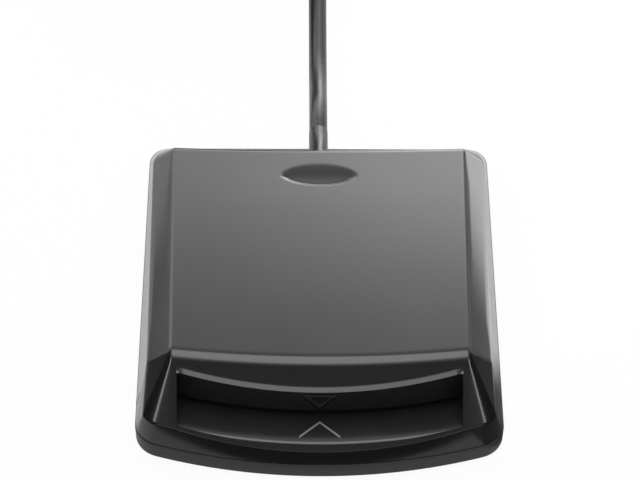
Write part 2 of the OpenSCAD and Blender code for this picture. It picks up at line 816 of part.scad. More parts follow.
module cover_screws() {
  color([0.7, 0.7, 0.72])
    for (p = screw_places)
      translate(p + [0, 0, screw_head_z]) {
        difference() {
          cylinder(r = screw_head_r, h = screw_head_h, $fn = round_fn);
          translate([0, 0, -cut]) driver_cross(screw_head_r, screw_head_h / 2 + cut);
        }
        cylinder(r = screw_r, h = joint_z + screw_bite - screw_head_z, $fn = small_fn);
      }
}
module driver_cross(r, h) {
  arm = r / 4;
  for (turn = [0, 90])
    rotate([0, 0, turn])
      translate([-r * 2 / 3, -arm / 2, 0]) cube([r * 4 / 3, arm, h]);
}
board_screw_head_h = 0.9;
module board_screws() {
  color([0.7, 0.7, 0.72])
    for (x = [-post_x, post_x])
      translate([x, post_y[1], board_top]) {
        difference() {
          cylinder(r = board_screw_head_r, h = board_screw_head_h, $fn = round_fn);
          translate([0, 0, board_screw_head_h / 2]) driver_cross(board_screw_head_r, board_screw_head_h);
        }
        translate([0, 0, floor_z + fit - board_top])
          cylinder(r = board_screw_r, h = board_top - floor_z - fit, $fn = small_fn);
      }
}

module feet() {
  color([0.12, 0.12, 0.12])
    for (p = feet_places)
      translate(p)
        cylinder(r = foot_r, h = foot_gap + foot_seat, $fn = round_fn);
}
module base_label() {
  color([0.8, 0.8, 0.8])
    translate([-label_w / 2 + fit, -label_d / 2 + fit, foot_gap + fit])
      cube([label_w - 2 * fit, label_d - 2 * fit, label_t]);
}

// Cable route from the strain relief to the coil, and from the coil's end to the plug
run_route = [
  [0, 51.05, 6.3], [0, 54.8, 6.2], [0, 58.8, 5.6], [0, 62.8, 4.5], [0, 66.8, 3.3], [0, 70.8, 2.4],
  [0, 75.3, 1.95], [0, 80, 1.85], [0, 86, 1.85], [0, 92.5, 1.85], [0, 99.5, 1.85], [0, 106, 1.85],
  [0, 113, 2], [0, 119, 2.35], [0, 122.5, 2.5], [0, 124.55, 2.5]
];
tail_route = [
  [-49.39, 140.6, 14.95], [-50.3, 139.35, 14.95], [-51.8, 135.8, 15.8], [-52.2, 131.4, 17.15],
  [-51, 126.8, 18.55], [-48.2, 122.8, 19.55], [-44.2, 119.9, 20.25], [-39.7, 118.6, 20.7],
  [-35.7, 118.65, 20.9], [-32.8, 119.15, 20.9], [-30.8, 119.5, 20.9]
];
run_sides = 8;
module cord_run() { color([0.15, 0.15, 0.15]) tube(run_route, cable_d / 2, run_sides); }
module cord_tail() { color([0.15, 0.15, 0.15]) tube(tail_route, cable_d / 2, run_sides); }

// Coil: the radius runs in and out again, and each layer is climbed in the half turn where it turns back
coil_sides = 6;
loop_rings = 24;
coil_lift = tie_t + fit / 2;
coil_centre = [-coil_outer_r, back_y + coil_behind, coil_lift + cable_d / 2];
coil_turns = coil_layers * layer_turns;
coil_inner_r = coil_outer_r - coil_pitch * layer_turns;
function ramp(x) = let (c = min(1, max(0, x))) c * c * (3 - 2 * c);
function coil_r(t) =
  let (phase = t - 2 * layer_turns * floor(t / (2 * layer_turns)))
  phase < layer_turns ? coil_outer_r - coil_pitch * phase
    : coil_inner_r + coil_pitch * (phase - layer_turns);
function sum(list, i = 0) = i < len(list) ? list[i] + sum(list, i + 1) : 0;
function coil_h(t) =
  coil_pitch * sum([for (j = [1:coil_layers - 1]) ramp((t - j * layer_turns) * 2 + 0.5)]);
function coil_point(t) = let (r = t < coil_turns ? coil_r(t) : coil_outer_r)
  coil_centre + [r * cos(360 * t), r * sin(360 * t), coil_h(t)];
coil_steps = round(coil_turns * loop_rings);
coil_loops = [for (i = [0:coil_steps]) coil_point(coil_turns * i / coil_steps)];
coil_heading = 360 * coil_turns + 90;
coil_route = concat(
  [coil_loops[0] - [0, cable_d, 0]], coil_loops,
  [coil_loops[coil_steps] + cable_d * [cos(coil_heading), sin(coil_heading), 0]]);
near_steps = loop_rings / 2;
coil_gap = min([for (i = [0:coil_steps - near_steps], j = [i + near_steps:coil_steps])
  norm(coil_loops[j] - coil_loops[i])]) - cable_d;
echo(least_gap_in_the_coil = coil_gap);
function length(p) = sum([for (i = [1:len(p) - 1]) norm(p[i] - p[i - 1])]);
echo(cable_length = length(run_route) + length(coil_route) + length(tail_route));
module cord_coil() { color([0.15, 0.15, 0.15]) tube(coil_route, cable_d / 2, coil_sides); }

tie_turn = 80;
module cord_tie() {
  w = coil_outer_r - coil_inner_r + cable_d + 2 * play;
  h = (coil_layers - 1) * coil_pitch + cable_d + fit;
  color([0.07, 0.07, 0.07])
    translate([coil_centre.x, coil_centre.y, 0])
      rotate([0, 0, tie_turn])
        translate([(coil_outer_r + coil_inner_r) / 2, 0, 0])
          difference() {
            translate([-w / 2 - tie_t, -tie_w / 2, 0]) cube([w + 2 * tie_t, tie_w, h + 2 * tie_t]);
            translate([-w / 2, -tie_w / 2 - cut, tie_t]) cube([w, tie_w + 2 * cut, h]);
          }
}

// Plug on top of the coil, seen along its own X axis
plug_turn = 10;
plug_start = tail_route[len(tail_route) - 1];
plug_boot_r = 3.2;
module plug_place() { translate(plug_start) rotate([0, 0, plug_turn]) children(); }
module rounded_bar(w, h, l, r) {
  rotate([90, 0, 90])
    linear_extrude(l)
      offset(r = r) square([w - 2 * r, h - 2 * r], center = true);
}
module plug_boot() {
  color([0.1, 0.1, 0.1])
    plug_place()
      rotate([0, 90, 0])
        cylinder(r1 = cable_d / 2 + fit, r2 = plug_boot_r, h = plug_boot_l, $fn = round_fn);
}
grip_round = 1.6;
module plug_grip() {
  color([0.1, 0.1, 0.1])
    plug_place()
      translate([plug_boot_l, 0, 0])
        difference() {
          rounded_bar(grip_w, grip_h, grip_l, grip_round, $fn = round_fn);
          translate([grip_l - shell_seat, -shell_w / 2, -shell_h / 2])
            cube([shell_seat + cut, shell_w, shell_h]);
        }
}
shell_seat = 3;
shell_hole = 2.2;
module plug_shell() {
  color([0.75, 0.75, 0.77])
    plug_place()
      translate([plug_boot_l + grip_l - shell_seat, 0, 0])
        difference() {
          translate([0, -shell_w / 2, -shell_h / 2]) cube([shell_seat + shell_l, shell_w, shell_h]);
          translate([-cut, -shell_w / 2 + shell_t, -shell_h / 2 + shell_t])
            cube([shell_seat + shell_l + 2 * cut, shell_w - 2 * shell_t, shell_h - 2 * shell_t]);
          for (side = [-1, 1])
            translate([shell_seat + shell_l / 2, side * shell_w / 4 - shell_hole / 2, -shell_h])
              cube([shell_hole, shell_hole, 2 * shell_h]);
        }
}
tongue_t = 1.9;
module plug_insulator() {
  w = shell_w - 2 * shell_t - fit;
  top = shell_h / 2 - shell_t - fit / 2;
  color([0.9, 0.9, 0.9])
    plug_place()
      translate([plug_boot_l + grip_l - shell_seat, -w / 2, top - tongue_t])
        cube([shell_seat + shell_l - fit, w, tongue_t]);
}
contact_w = 1;
contact_t = 0.2;
contact_short = 1.2;
contact_inner = 1.25;
contact_outer = 3.5;
module plug_contacts() {
  top = shell_h / 2 - shell_t - fit / 2 - tongue_t;
  color([0.83, 0.68, 0.3])
    plug_place()
      for (y = [-contact_outer, -contact_inner, contact_inner, contact_outer])
        translate([plug_boot_l + grip_l, y - contact_w / 2, top - contact_t])
          cube([shell_l - contact_short, contact_w, contact_t]);
}

upper_cover();
lower_cover();
mouth_insert();
light_guide();
insertion_arrow();
status_led();
circuit_board();
controller_chip();
crystal();
capacitors();
resistors();
connector_frame();
connector_cover_plate();
contact_springs_front();
contact_springs_rear();
contact_tails();
card_switch_leaf();
card_switch_contact();
cable_header();
cable_socket();
wire_red();
wire_white();
wire_green();
wire_black();
strain_relief();
cover_screws();
board_screws();
feet();
base_label();
cord_run();
cord_coil();
cord_tail();
cord_tie();
plug_boot();
plug_grip();
plug_shell();
plug_insulator();
plug_contacts();
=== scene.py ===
# %% [markdown]
# A desktop smart card reader, dressed for its portrait
# The solids of the construction model are loaded first and stay where they are.
# Each visible moulding is then modelled again as a finer mesh in the same place,
# because a gloss black shell shows every facet in its reflections.

# %% Load the solids
from math import atan, atan2, copysign, cos, degrees, hypot, pi, radians, sin, sqrt, tan

import bmesh
import bpy
from mathutils import Matrix, Vector
from mathutils.bvhtree import BVHTree


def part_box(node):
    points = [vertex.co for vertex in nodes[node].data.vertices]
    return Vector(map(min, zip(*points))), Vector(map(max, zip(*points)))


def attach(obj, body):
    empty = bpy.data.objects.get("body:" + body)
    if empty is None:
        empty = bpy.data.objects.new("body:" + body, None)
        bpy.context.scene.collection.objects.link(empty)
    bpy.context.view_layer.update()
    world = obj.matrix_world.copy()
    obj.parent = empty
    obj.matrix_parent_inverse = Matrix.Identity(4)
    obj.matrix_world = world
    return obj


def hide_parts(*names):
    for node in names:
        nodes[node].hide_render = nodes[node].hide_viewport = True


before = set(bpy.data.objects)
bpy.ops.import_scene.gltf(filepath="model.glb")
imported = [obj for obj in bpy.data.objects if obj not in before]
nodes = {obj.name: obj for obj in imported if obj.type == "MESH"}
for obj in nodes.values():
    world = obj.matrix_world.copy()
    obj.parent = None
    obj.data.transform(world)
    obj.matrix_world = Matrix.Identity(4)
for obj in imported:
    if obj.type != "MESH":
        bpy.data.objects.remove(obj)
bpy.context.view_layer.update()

MM = 0.001
MERGE = 1e-7
print("construction nodes:", len(nodes))

# %% [markdown]
# Camera
# The photograph is taken from in front and well above, with a long lens, and the
# camera leans a little. The sensor is 36 mm wide, so the lens follows from the
# scale of the picture: 4.902 pixels for each millimetre at the desk.

# %% Camera
VIEW_ELEVATION = radians(47)
VIEW_TURN = radians(0.67)
VIEW_ROLL = radians(0.68)
VIEW_DISTANCE = 1500
VIEW_TARGET = Vector((0, 26.45, 0))
PIXELS_PER_MM = 4.902
PICTURE_W = 640
SENSOR = 36
TARGET_LEFT_OF_CENTRE = 1.55


def shown(name, data):
    """A new object, put in the scene."""
    made = bpy.data.objects.new(name, data)
    bpy.context.scene.collection.objects.link(made)
    return made


def make_camera():
    level = cos(VIEW_ELEVATION)
    back = Vector((-sin(VIEW_TURN) * level, -cos(VIEW_TURN) * level, sin(VIEW_ELEVATION)))
    right = Vector((cos(VIEW_TURN), -sin(VIEW_TURN), 0))
    up = back.cross(right)
    rolled_right = (right + up * tan(VIEW_ROLL)).normalized()
    turn = Matrix((rolled_right, back.cross(rolled_right), back)).transposed().to_4x4()
    data = bpy.data.cameras.new("camera")
    data.sensor_width = SENSOR
    data.lens = PIXELS_PER_MM * VIEW_DISTANCE * SENSOR / PICTURE_W
    data.shift_x = TARGET_LEFT_OF_CENTRE / PICTURE_W
    data.clip_start = 0.05
    data.clip_end = 20
    camera = shown("camera", data)
    camera.matrix_world = Matrix.Translation((VIEW_TARGET + back * VIEW_DISTANCE) * MM) @ turn
    bpy.context.scene.camera = camera
    return camera


camera = make_camera()
print("lens:", round(camera.data.lens, 1), "mm")

# %% [markdown]
# Small helpers
# A piece is a mesh at the origin with its place in its points. Lengths in this
# script are millimetres, as in the construction model, and become metres here.


# %% Mesh helpers
def shaded(mesh, smooth_angle=35):
    mesh.shade_smooth()
    mesh.set_sharp_from_angle(angle=radians(smooth_angle))


def add_piece(name, mesh, material, smooth_angle=35):
    shaded(mesh, smooth_angle)
    mesh.materials.clear()
    mesh.materials.append(material)
    return shown(name, mesh)


def new_piece(name, points, faces, material, smooth_angle=35):
    mesh = bpy.data.meshes.new(name)
    mesh.from_pydata([Vector(p) * MM for p in points], [], faces)
    work = bmesh.new()
    work.from_mesh(mesh)
    bmesh.ops.remove_doubles(work, verts=work.verts, dist=MERGE)
    bmesh.ops.recalc_face_normals(work, faces=work.faces)
    work.to_mesh(mesh)
    work.free()
    return add_piece(name, mesh, material, smooth_angle)


def baked(piece):
    """The piece with its modifiers worked into a plain mesh."""
    bpy.context.view_layer.update()
    ready = piece.evaluated_get(bpy.context.evaluated_depsgraph_get())
    mesh = bpy.data.meshes.new_from_object(ready)
    piece.modifiers.clear()
    piece.data = mesh
    return piece


def stands_for(piece, slot, *replaced):
    """The piece takes the place of solids and rides on the body of the reader."""
    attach(piece, "reader")
    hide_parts(*replaced)
    return piece


def dress(material, *names):
    """Give carried-over construction solids their finish."""
    for name in names:
        for material_slot in nodes[name].material_slots:
            material_slot.material = material


def mix(a, b, share):
    return a + (b - a) * share


def smooth_step(x):
    x = min(1, max(0, x))
    return x * x * (3 - 2 * x)

# %% [markdown]
# Materials
# Moulded plastic is never one flat colour. Its gloss breaks up in a faint
# orange-peel bump, the roughness drifts a little from place to place, and a matte
# moulding has the fine grain of its etched tool. One function builds them all from
# Object coordinates, so that the pattern is at its real size on every piece.


# %% Nodes
def feed(made, inputs):
    """Set a node's inputs. One that is given an output is linked to it."""
    for key, value in inputs.items():
        if isinstance(value, bpy.types.NodeSocket):
            made.id_data.links.new(value, made.inputs[key])
        else:
            made.inputs[key].default_value = value
    return made


def node(tree, kind, inputs={}, **settings):
    made = tree.nodes.new(kind)
    for key, value in settings.items():
        setattr(made, key, value)
    return feed(made, inputs)


def output(tree, kind, inputs={}, result=0, **settings):
    return node(tree, kind, inputs, **settings).outputs[result]


def new_material(name):
    material = bpy.data.materials.new(name)
    material.use_nodes = True
    return material, material.node_tree


# %% Plastic, rubber and metal
def finish_material(name, colour, rough, grain_mm, deep_mm, drift=0.03, metal=0.0, ior=1.5,
                    coat=0.0, light=None, cloud_mm=6.0):
    """A finish: its grain and the grain's depth, and how far the roughness drifts in soft clouds."""
    material, tree = new_material(name)
    where = output(tree, "ShaderNodeTexCoord", result="Object")
    grain = output(tree, "ShaderNodeTexNoise", {"Vector": where, "Scale": 1 / (grain_mm * MM), "Detail": 3})
    cloud = output(tree, "ShaderNodeTexNoise", {"Vector": where, "Scale": 1 / (cloud_mm * MM), "Detail": 4})
    light = light or [min(1, c * 1.07) for c in colour]
    tint = output(tree, "ShaderNodeMix", {0: cloud, 6: (*(c * 0.93 for c in colour), 1), 7: (*light, 1)},
                  result=2, data_type="RGBA")
    spread = output(tree, "ShaderNodeMapRange", {"Value": cloud, "From Min": 0.3, "From Max": 0.7,
                                                 "To Min": rough - drift, "To Max": min(1, rough + drift)})
    bump = output(tree, "ShaderNodeBump", {"Height": grain, "Strength": 1, "Distance": deep_mm * MM})
    feed(tree.nodes["Principled BSDF"], {"Base Color": tint, "Roughness": spread, "Normal": bump, "IOR": ior,
                                         "Metallic": metal, "Coat Weight": coat, "Coat Roughness": 0.05})
    return material


gloss_black = finish_material("gloss black moulding", (0.009, 0.009, 0.0098), 0.15, 1.6, 0.0008,
                              drift=0.015, cloud_mm=22)
satin_black = finish_material("satin black moulding", (0.017, 0.017, 0.018), 0.42, 0.22, 0.008)
lining_black = finish_material("lining black moulding", (0.017, 0.017, 0.0175), 0.2, 0.4, 0.001)
smoked_window = finish_material("smoked window", (0.012, 0.012, 0.013), 0.12, 0.4, 0.002, ior=1.58)
grey_print = finish_material("grey print", (0.22, 0.22, 0.225), 0.5, 0.3, 0.002)
cable_jacket = finish_material("cable jacket", (0.024, 0.024, 0.025), 0.26, 0.5, 0.003, drift=0.05, ior=1.38)
rubber = finish_material("foot rubber", (0.03, 0.03, 0.03), 0.75, 0.3, 0.01)
nickel = finish_material("nickel plate", (0.66, 0.65, 0.62), 0.24, 0.6, 0.0015, drift=0.06, metal=1)
zinc = finish_material("zinc plated steel", (0.55, 0.55, 0.56), 0.32, 0.3, 0.002, drift=0.08, metal=1)
gold = finish_material("gold plated bronze", (0.85, 0.62, 0.26), 0.22, 0.3, 0.001, metal=1)
white_plastic = finish_material("white nylon", (0.72, 0.71, 0.67), 0.45, 0.3, 0.003)
connector_black = finish_material("glass-filled nylon", (0.02, 0.02, 0.02), 0.5, 0.15, 0.006)
mask_green = finish_material("green solder mask", (0.012, 0.09, 0.035), 0.25, 0.5, 0.006, coat=0.4,
                             light=(0.02, 0.13, 0.05), cloud_mm=1.2)
chip_black = finish_material("moulded chip", (0.015, 0.015, 0.016), 0.55, 0.12, 0.005)
ceramic_tan = finish_material("ceramic tan", (0.42, 0.31, 0.2), 0.4, 0.2, 0.003)
lamp_lens = finish_material("milky lens", (0.8, 0.8, 0.68), 0.2, 0.3, 0.001)
label_foil = finish_material("matte label film", (0.55, 0.55, 0.56), 0.5, 0.2, 0.002, metal=0.35)
print("materials so far:", len(bpy.data.materials))

# %% [markdown]
# Skins and cuts
# Most of the small mouldings are either turned or drawn: a turned piece is a
# profile carried round an axis, a drawn one is a row of rings of equal count. Both
# are the same skin with its two ends closed. Openings are cut with a boolean, which
# keeps the wall exact, and the result is made a plain mesh at once.


# %% Skins
def loft(rings):
    count = len(rings[0])
    points = [p for ring in rings for p in ring]
    faces = []
    for a in range(0, (len(rings) - 1) * count, count):
        for k in range(count):
            m = (k + 1) % count
            faces.append((a + k, a + m, a + count + m, a + count + k))
    faces.append(tuple(reversed(range(count))))
    faces.append(tuple(range(len(points) - count, len(points))))
    return points, faces


def turned(profile, start=(0, 0, 0), along=(0, 0, 1), sides=48):
    """A skin round an axis, from pairs of distance and radius."""
    along = Vector(along).normalized()
    side = along.orthogonal().normalized()
    other = along.cross(side)
    angles = [2 * pi * k / sides for k in range(sides)]
    return loft([[Vector(start) + along * distance + (side * cos(a) + other * sin(a)) * radius
                  for a in angles] for distance, radius in profile])


def rounded_ring(w, h, r, steps=6):
    """A rectangle with round corners, centred, as pairs."""
    ring = []
    for n, (sx, sy) in enumerate(((1, 1), (-1, 1), (-1, -1), (1, -1))):
        for i in range(steps + 1):
            a = pi / 2 * (n + i / steps)
            ring.append((sx * (w / 2 - r) + r * cos(a), sy * (h / 2 - r) + r * sin(a)))
    return ring


def joined(*skins):
    points, faces = [], []
    for more, skin in skins:
        start = len(points)
        points += more
        faces += [tuple(start + k for k in face) for face in skin]
    return points, faces


# %% Cuts and softened edges
def cut(piece, points, faces, operation="DIFFERENCE", smooth_angle=35):
    tool = new_piece("tool", points, faces, piece.data.materials[0])
    change = piece.modifiers.new("cut", "BOOLEAN")
    change.operation = operation
    change.solver = "EXACT"
    change.object = tool
    baked(piece)
    bpy.data.objects.remove(tool)
    shaded(piece.data, smooth_angle)
    return piece


def block(low, high):
    corners = [(x, y, z) for z in (low[2], high[2]) for y in (low[1], high[1])
               for x in (low[0], high[0])]
    return corners, [(0, 2, 3, 1), (4, 5, 7, 6), (0, 1, 5, 4), (2, 6, 7, 3), (0, 4, 6, 2), (1, 3, 7, 5)]


def softened(name, node_name, slot, material, width, segments=2):
    """A construction solid with its edges rounded, in its own place."""
    mesh = nodes[node_name].data.copy()
    work = bmesh.new()
    work.from_mesh(mesh)
    bmesh.ops.remove_doubles(work, verts=work.verts, dist=MERGE)
    bmesh.ops.dissolve_limit(work, angle_limit=radians(1), verts=work.verts, edges=work.edges)
    work.to_mesh(mesh)
    work.free()
    piece = add_piece(name, mesh, material)
    change = piece.modifiers.new("edges", "BEVEL")
    change.width = width * MM
    change.segments = segments
    change.limit_method = "ANGLE"
    change.angle_limit = radians(40)
    return stands_for(baked(piece), slot, node_name)

# %% [markdown]
# Cable
# A jacketed cable of 3.7 mm leaves the back, drops to the desk and runs to a coil
# that lies beyond the picture, tied, with the plug on top. It is one open curve
# along the same route as its solids: the stretches by listed points, the coil by
# its rule. Extra points on a smooth curve through them keep it round. About
# 1.5 m is usual for such a lead, and most of it lies in the coil.

# %% Route of the cable
CABLE_D = 3.7
BACK_Y = 38.75
COIL_OUTER_R = 26.1
COIL_PITCH = 4.15
LAYER_TURNS = 2.6
COIL_LAYERS = 4
COIL_TURNS = COIL_LAYERS * LAYER_TURNS
COIL_INNER_R = COIL_OUTER_R - COIL_PITCH * LAYER_TURNS
COIL_CENTRE = Vector((-COIL_OUTER_R, BACK_Y + 89.5, 2.5))
LOOP_RINGS = 24
RUN_ROUTE = [
    (0, 51.05, 6.3), (0, 54.8, 6.2), (0, 58.8, 5.6), (0, 62.8, 4.5), (0, 66.8, 3.3), (0, 70.8, 2.4),
    (0, 75.3, 1.95), (0, 80, 1.85), (0, 86, 1.85), (0, 92.5, 1.85), (0, 99.5, 1.85), (0, 106, 1.85),
    (0, 113, 2), (0, 119, 2.35), (0, 122.5, 2.5), (0, 124.55, 2.5),
]
TAIL_ROUTE = [
    (-49.39, 140.6, 14.95), (-50.3, 139.35, 14.95), (-51.8, 135.8, 15.8), (-52.2, 131.4, 17.15),
    (-51, 126.8, 18.55), (-48.2, 122.8, 19.55), (-44.2, 119.9, 20.25), (-39.7, 118.6, 20.7),
    (-35.7, 118.65, 20.9), (-32.8, 119.15, 20.9), (-30.8, 119.5, 20.9),
]


def coil_radius(turns):
    phase = turns % (2 * LAYER_TURNS)
    if phase < LAYER_TURNS:
        return COIL_OUTER_R - COIL_PITCH * phase
    return COIL_INNER_R + COIL_PITCH * (phase - LAYER_TURNS)


def coil_point(turns):
    r = coil_radius(turns) if turns < COIL_TURNS else COIL_OUTER_R
    lift = sum(smooth_step((turns - j * LAYER_TURNS) * 2 + 0.5) for j in range(1, COIL_LAYERS))
    angle = 2 * pi * turns
    return COIL_CENTRE + Vector((r * cos(angle), r * sin(angle), COIL_PITCH * lift))


def smooth_route(points, steps=4):
    """Points on a smooth curve that passes through all the given ones."""
    made = []
    for i in range(len(points) - 1):
        a, b = points[i], points[i + 1]
        before = points[i - 1] if i else a - (b - a)
        after = points[i + 2] if i + 2 < len(points) else b + (b - a)
        for k in range(steps):
            t = k / steps
            made.append(a * (2 * t**3 - 3 * t**2 + 1) + b * (3 * t**2 - 2 * t**3)
                        + (b - before) * 0.5 * (t**3 - 2 * t**2 + t)
                        + (after - a) * 0.5 * (t**3 - t**2))
    made.append(points[-1])
    return made


coil_steps = round(COIL_TURNS * LOOP_RINGS)
coil_route = [coil_point(COIL_TURNS * i / coil_steps) for i in range(coil_steps + 1)]
route = smooth_route([Vector(p) for p in RUN_ROUTE] + coil_route[1:]
                     + [Vector(p) for p in TAIL_ROUTE[1:]])


# %% The cable itself
def make_cable():
    curve = bpy.data.curves.new("cable", "CURVE")
    curve.dimensions = "3D"
    curve.bevel_depth = CABLE_D / 2 * MM
    curve.bevel_resolution = 5
    curve.use_fill_caps = True
    curve.twist_mode = "MINIMUM"
    spline = curve.splines.new("POLY")
    spline.points.add(len(route) - 1)
    for point, place in zip(spline.points, route):
        point.co = (*(place * MM), 1)
    spline.use_smooth = True
    curve.materials.append(cable_jacket)
    return shown("cable", curve)


cable = stands_for(make_cable(), "cable_black", "cord_run", "cord_coil", "cord_tail")

# %% [markdown]
# Strain relief
# Where the cable leaves the reader it is held by a soft sleeve: a flange inside the
# wall, a neck that runs out through the sloping back, and a slimmer collar that
# ends just behind it. It is turned round the cable's axis.

# %% Strain relief
EXIT_Z = 6.3
FLANGE_R = 3.7


def make_relief():
    profile = [(38.65, FLANGE_R - 0.2), (38.8, FLANGE_R), (40, FLANGE_R), (40.15, 2.4), (43.8, 2.4),
               (44.3, 1.95), (50.9, 1.92), (51.05, 1.86)]
    piece = new_piece("relief_sleeve", *turned(profile, (0, 0, EXIT_Z), (0, 1, 0)), cable_jacket,
                      smooth_angle=50)
    return stands_for(piece, "relief_black", "strain_relief")


relief = make_relief()
print("strain relief:", len(relief.data.polygons), "faces")

# %% [markdown]
# Plug
# The plug lies on the coil, turned a little. Its grip is a flat moulding with round
# edges, a waist and a few ribs for the fingers. The boot is turned, the metal
# shell keeps its construction solid with softened edges, and the insulator keeps
# its construction solid as it is.

# %% Boot and grip
PLUG_START = Vector(TAIL_ROUTE[-1])
PLUG_TURN = radians(10)
PLUG_AXIS = Vector((cos(PLUG_TURN), sin(PLUG_TURN), 0))
PLUG_SIDE = Vector((-sin(PLUG_TURN), cos(PLUG_TURN), 0))
BOOT_L = 9
BOOT_R = 1.95
BOOT_END_R = 3.2
GRIP_L = 20
GRIP_FACE = (1.6, 18.2)
GRIP_W = 15.6
GRIP_H = 7.8
SHELL_SEAT = 3
SHELL_W = 12
SHELL_H = 4.5


def plug_point(along, across, up):
    return PLUG_START + PLUG_AXIS * along + PLUG_SIDE * across + Vector((0, 0, up))


def make_boot():
    profile = [(0, BOOT_R - 0.08), (0.1, BOOT_R)]
    for i in range(4):
        d = 1.2 + i * 1.7
        r = mix(BOOT_R, BOOT_END_R, d / BOOT_L)
        profile += [(d, r), (d + 0.15, r - 0.3), (d + 0.6, r - 0.22), (d + 0.75, r + 0.1)]
    profile.append((BOOT_L, BOOT_END_R))
    piece = new_piece("plug_boot_sleeve", *turned(profile, PLUG_START, PLUG_AXIS), rubber, smooth_angle=50)
    return stands_for(piece, "relief_black", "plug_boot")


def make_grip():
    stations = [(0, 1.1), (0.12, 0.6), (0.4, 0.2), (0.9, 0)]
    stations += [(1.6 + i * 0.5, 0.28 * (i % 2) * (4 < i < 18) + 0.22 * smooth_step(1 - abs(i - 11) / 9))
                 for i in range(32)]
    stations += [(18.2, 0), (19.1, 0), (19.6, 0.2), (19.88, 0.6), (GRIP_L, 1.1)]
    rings = []
    for along, inset in stations:
        end = max(0, along - GRIP_FACE[1], GRIP_FACE[0] - along)
        drawn = inset if end else inset * 0.8
        ring = rounded_ring(GRIP_W - 2 * drawn, GRIP_H - 2 * (inset if end else inset * 0.25), 1.6)
        rings.append([plug_point(BOOT_L + along, u, v) for u, v in ring])
    piece = new_piece("plug_grip_moulding", *loft(rings), rubber, smooth_angle=40)
    seat = [[plug_point(BOOT_L + GRIP_L - SHELL_SEAT + d, u, v)
             for u, v in rounded_ring(SHELL_W, SHELL_H, 0.2, 2)] for d in (0, SHELL_SEAT + 1)]
    return stands_for(cut(piece, *loft(seat)), "grip_black", "plug_grip")


boot = make_boot()
grip = make_grip()
shell = softened("plug_shell_formed", "plug_shell", "shell_nickel", nickel, 0.12)
print("plug:", len(grip.data.polygons), "faces on the grip")

# %% [markdown]
# Tie
# A flat strap goes once round the coil's bundle. It is the construction loop with
# its edges and corners softened, so that it reads as a soft band.

# %% Tie and the cord's facts
tie = softened("coil_strap", "cord_tie", "tie_black", satin_black, 0.28, 3)
dress(white_plastic, "plug_insulator")
dress(gold, "plug_contacts")

# %% [markdown]
# The shape of the two covers
# The body is a low wedge: a top that slopes to the back, a bevel along each side,
# a nose that falls to the mouth, and walls that lean in. All of these are flats or
# wide arcs, so a convex hull round a few rows of points holds them exactly. To
# round the edges between them, the hull is first made smaller by the edge radius.
# Every point of a finer mesh then settles at that radius outside the small hull:
# flat beside a flat, and on a round beside an edge.

# %% Sizes of the body
BODY_W = 73.9
SIDE_DRAW = 2.1
BODY_D = 77.5
FRONT_Y = -BODY_D / 2
FRONT_ARC_R = 105
FRONT_CORNER_R = 6
BACK_CORNER_R = 4.5
JOINT_Z = 4.6
BROW_Z = 19.8
BROW_Y = FRONT_Y + 14.45
BROW_ARC_R = 208
BROW_R = 4.2
BACK_Z = 14.4
BACK_RUN = 9.3
FOOT_BACK_Y = BACK_Y + BACK_RUN
BACK_EDGE_R = 2.2
BACK_ROUND_R = 4.8
NOSE_SLOPE = radians(40.5)
BEVEL_Y = FRONT_Y + 18.9
NOSE_CORNER_Z = 9.9
TOP_W = 59.2
BEVEL_DROP = 5.2
SIDE_LEAN = radians(12.5)
FRONT_LEAN = radians(9.8)
COVER_WALL = 1.7
EDGE_R = 0.7
TOP_SLOPE = atan((BROW_Z - BACK_Z) / (BACK_Y - BROW_Y))
BACK_LEAN = atan(BACK_RUN / (BACK_Z - JOINT_Z))
SIDE_TAPER = SIDE_DRAW / BODY_D
TOP_FALL = tan(TOP_SLOPE)
NOSE_FALL = tan(NOSE_SLOPE)
SIDE_RUN = tan(SIDE_LEAN)
FRONT_RUN = tan(FRONT_LEAN)
BACK_OUT = tan(BACK_LEAN)
print("top slopes", round(degrees(TOP_SLOPE), 1), "and back leans", round(degrees(BACK_LEAN), 1), "degrees")


def half_width(y):
    return BODY_W / 2 - SIDE_TAPER * (y - FRONT_Y)


def side_wall(y, z):
    """How far out the side wall stands at a height."""
    return half_width(y) - (z - JOINT_Z) * SIDE_RUN


def top_height(y):
    return BACK_Z + (BACK_Y - y) * TOP_FALL


def sagitta(r, x):
    return r - sqrt(r * r - x * x)


def bevel_height(y):
    """Height of the edge between a bevel and its side wall."""
    return top_height(y) - BEVEL_DROP


def brow_row(x):
    return BROW_Y + sagitta(BROW_ARC_R, x)


def brow_height(x):
    return BROW_Z - sagitta(BROW_ARC_R, x) * TOP_FALL


def arc(cx, cy, r, start, end, steps):
    angles = [start + (end - start) * i / steps for i in range(steps + 1)]
    return [(cx + r * cos(a), cy + r * sin(a), cos(a), sin(a)) for a in angles]


def plan_outline(front_steps=72, corner_steps=16):
    """Outline at the joint line, anticlockwise: places and their outward directions."""
    mid_y = FRONT_Y + FRONT_ARC_R
    corner_x = half_width(FRONT_Y + 2 * FRONT_CORNER_R) - FRONT_CORNER_R
    corner_y = mid_y - sqrt((FRONT_ARC_R - FRONT_CORNER_R)**2 - corner_x**2)
    turn = atan2(corner_y - mid_y, corner_x)
    side = atan(SIDE_TAPER)
    half = (arc(corner_x, corner_y, FRONT_CORNER_R, turn, side, corner_steps)
            + arc(BACK_CORNER_X, BACK_CORNER_Y, BACK_CORNER_R, side, pi / 2, corner_steps))
    other = [(-x, y, -nx, ny) for x, y, nx, ny in reversed(half)]
    return arc(0, mid_y, FRONT_ARC_R, -pi - turn, turn, front_steps)[1:-1] + half + other


BACK_CORNER_X = half_width(FOOT_BACK_Y) - BACK_CORNER_R
BACK_CORNER_Y = FOOT_BACK_Y - BACK_CORNER_R
outline = plan_outline()
print("outline:", len(outline), "places")


# %% The hull of the cover, made smaller by g
EDGE_STEPS = 16
BROW_COLUMNS = 48
HULL_BELOW = 0.5
FACES_FRONT = -0.45


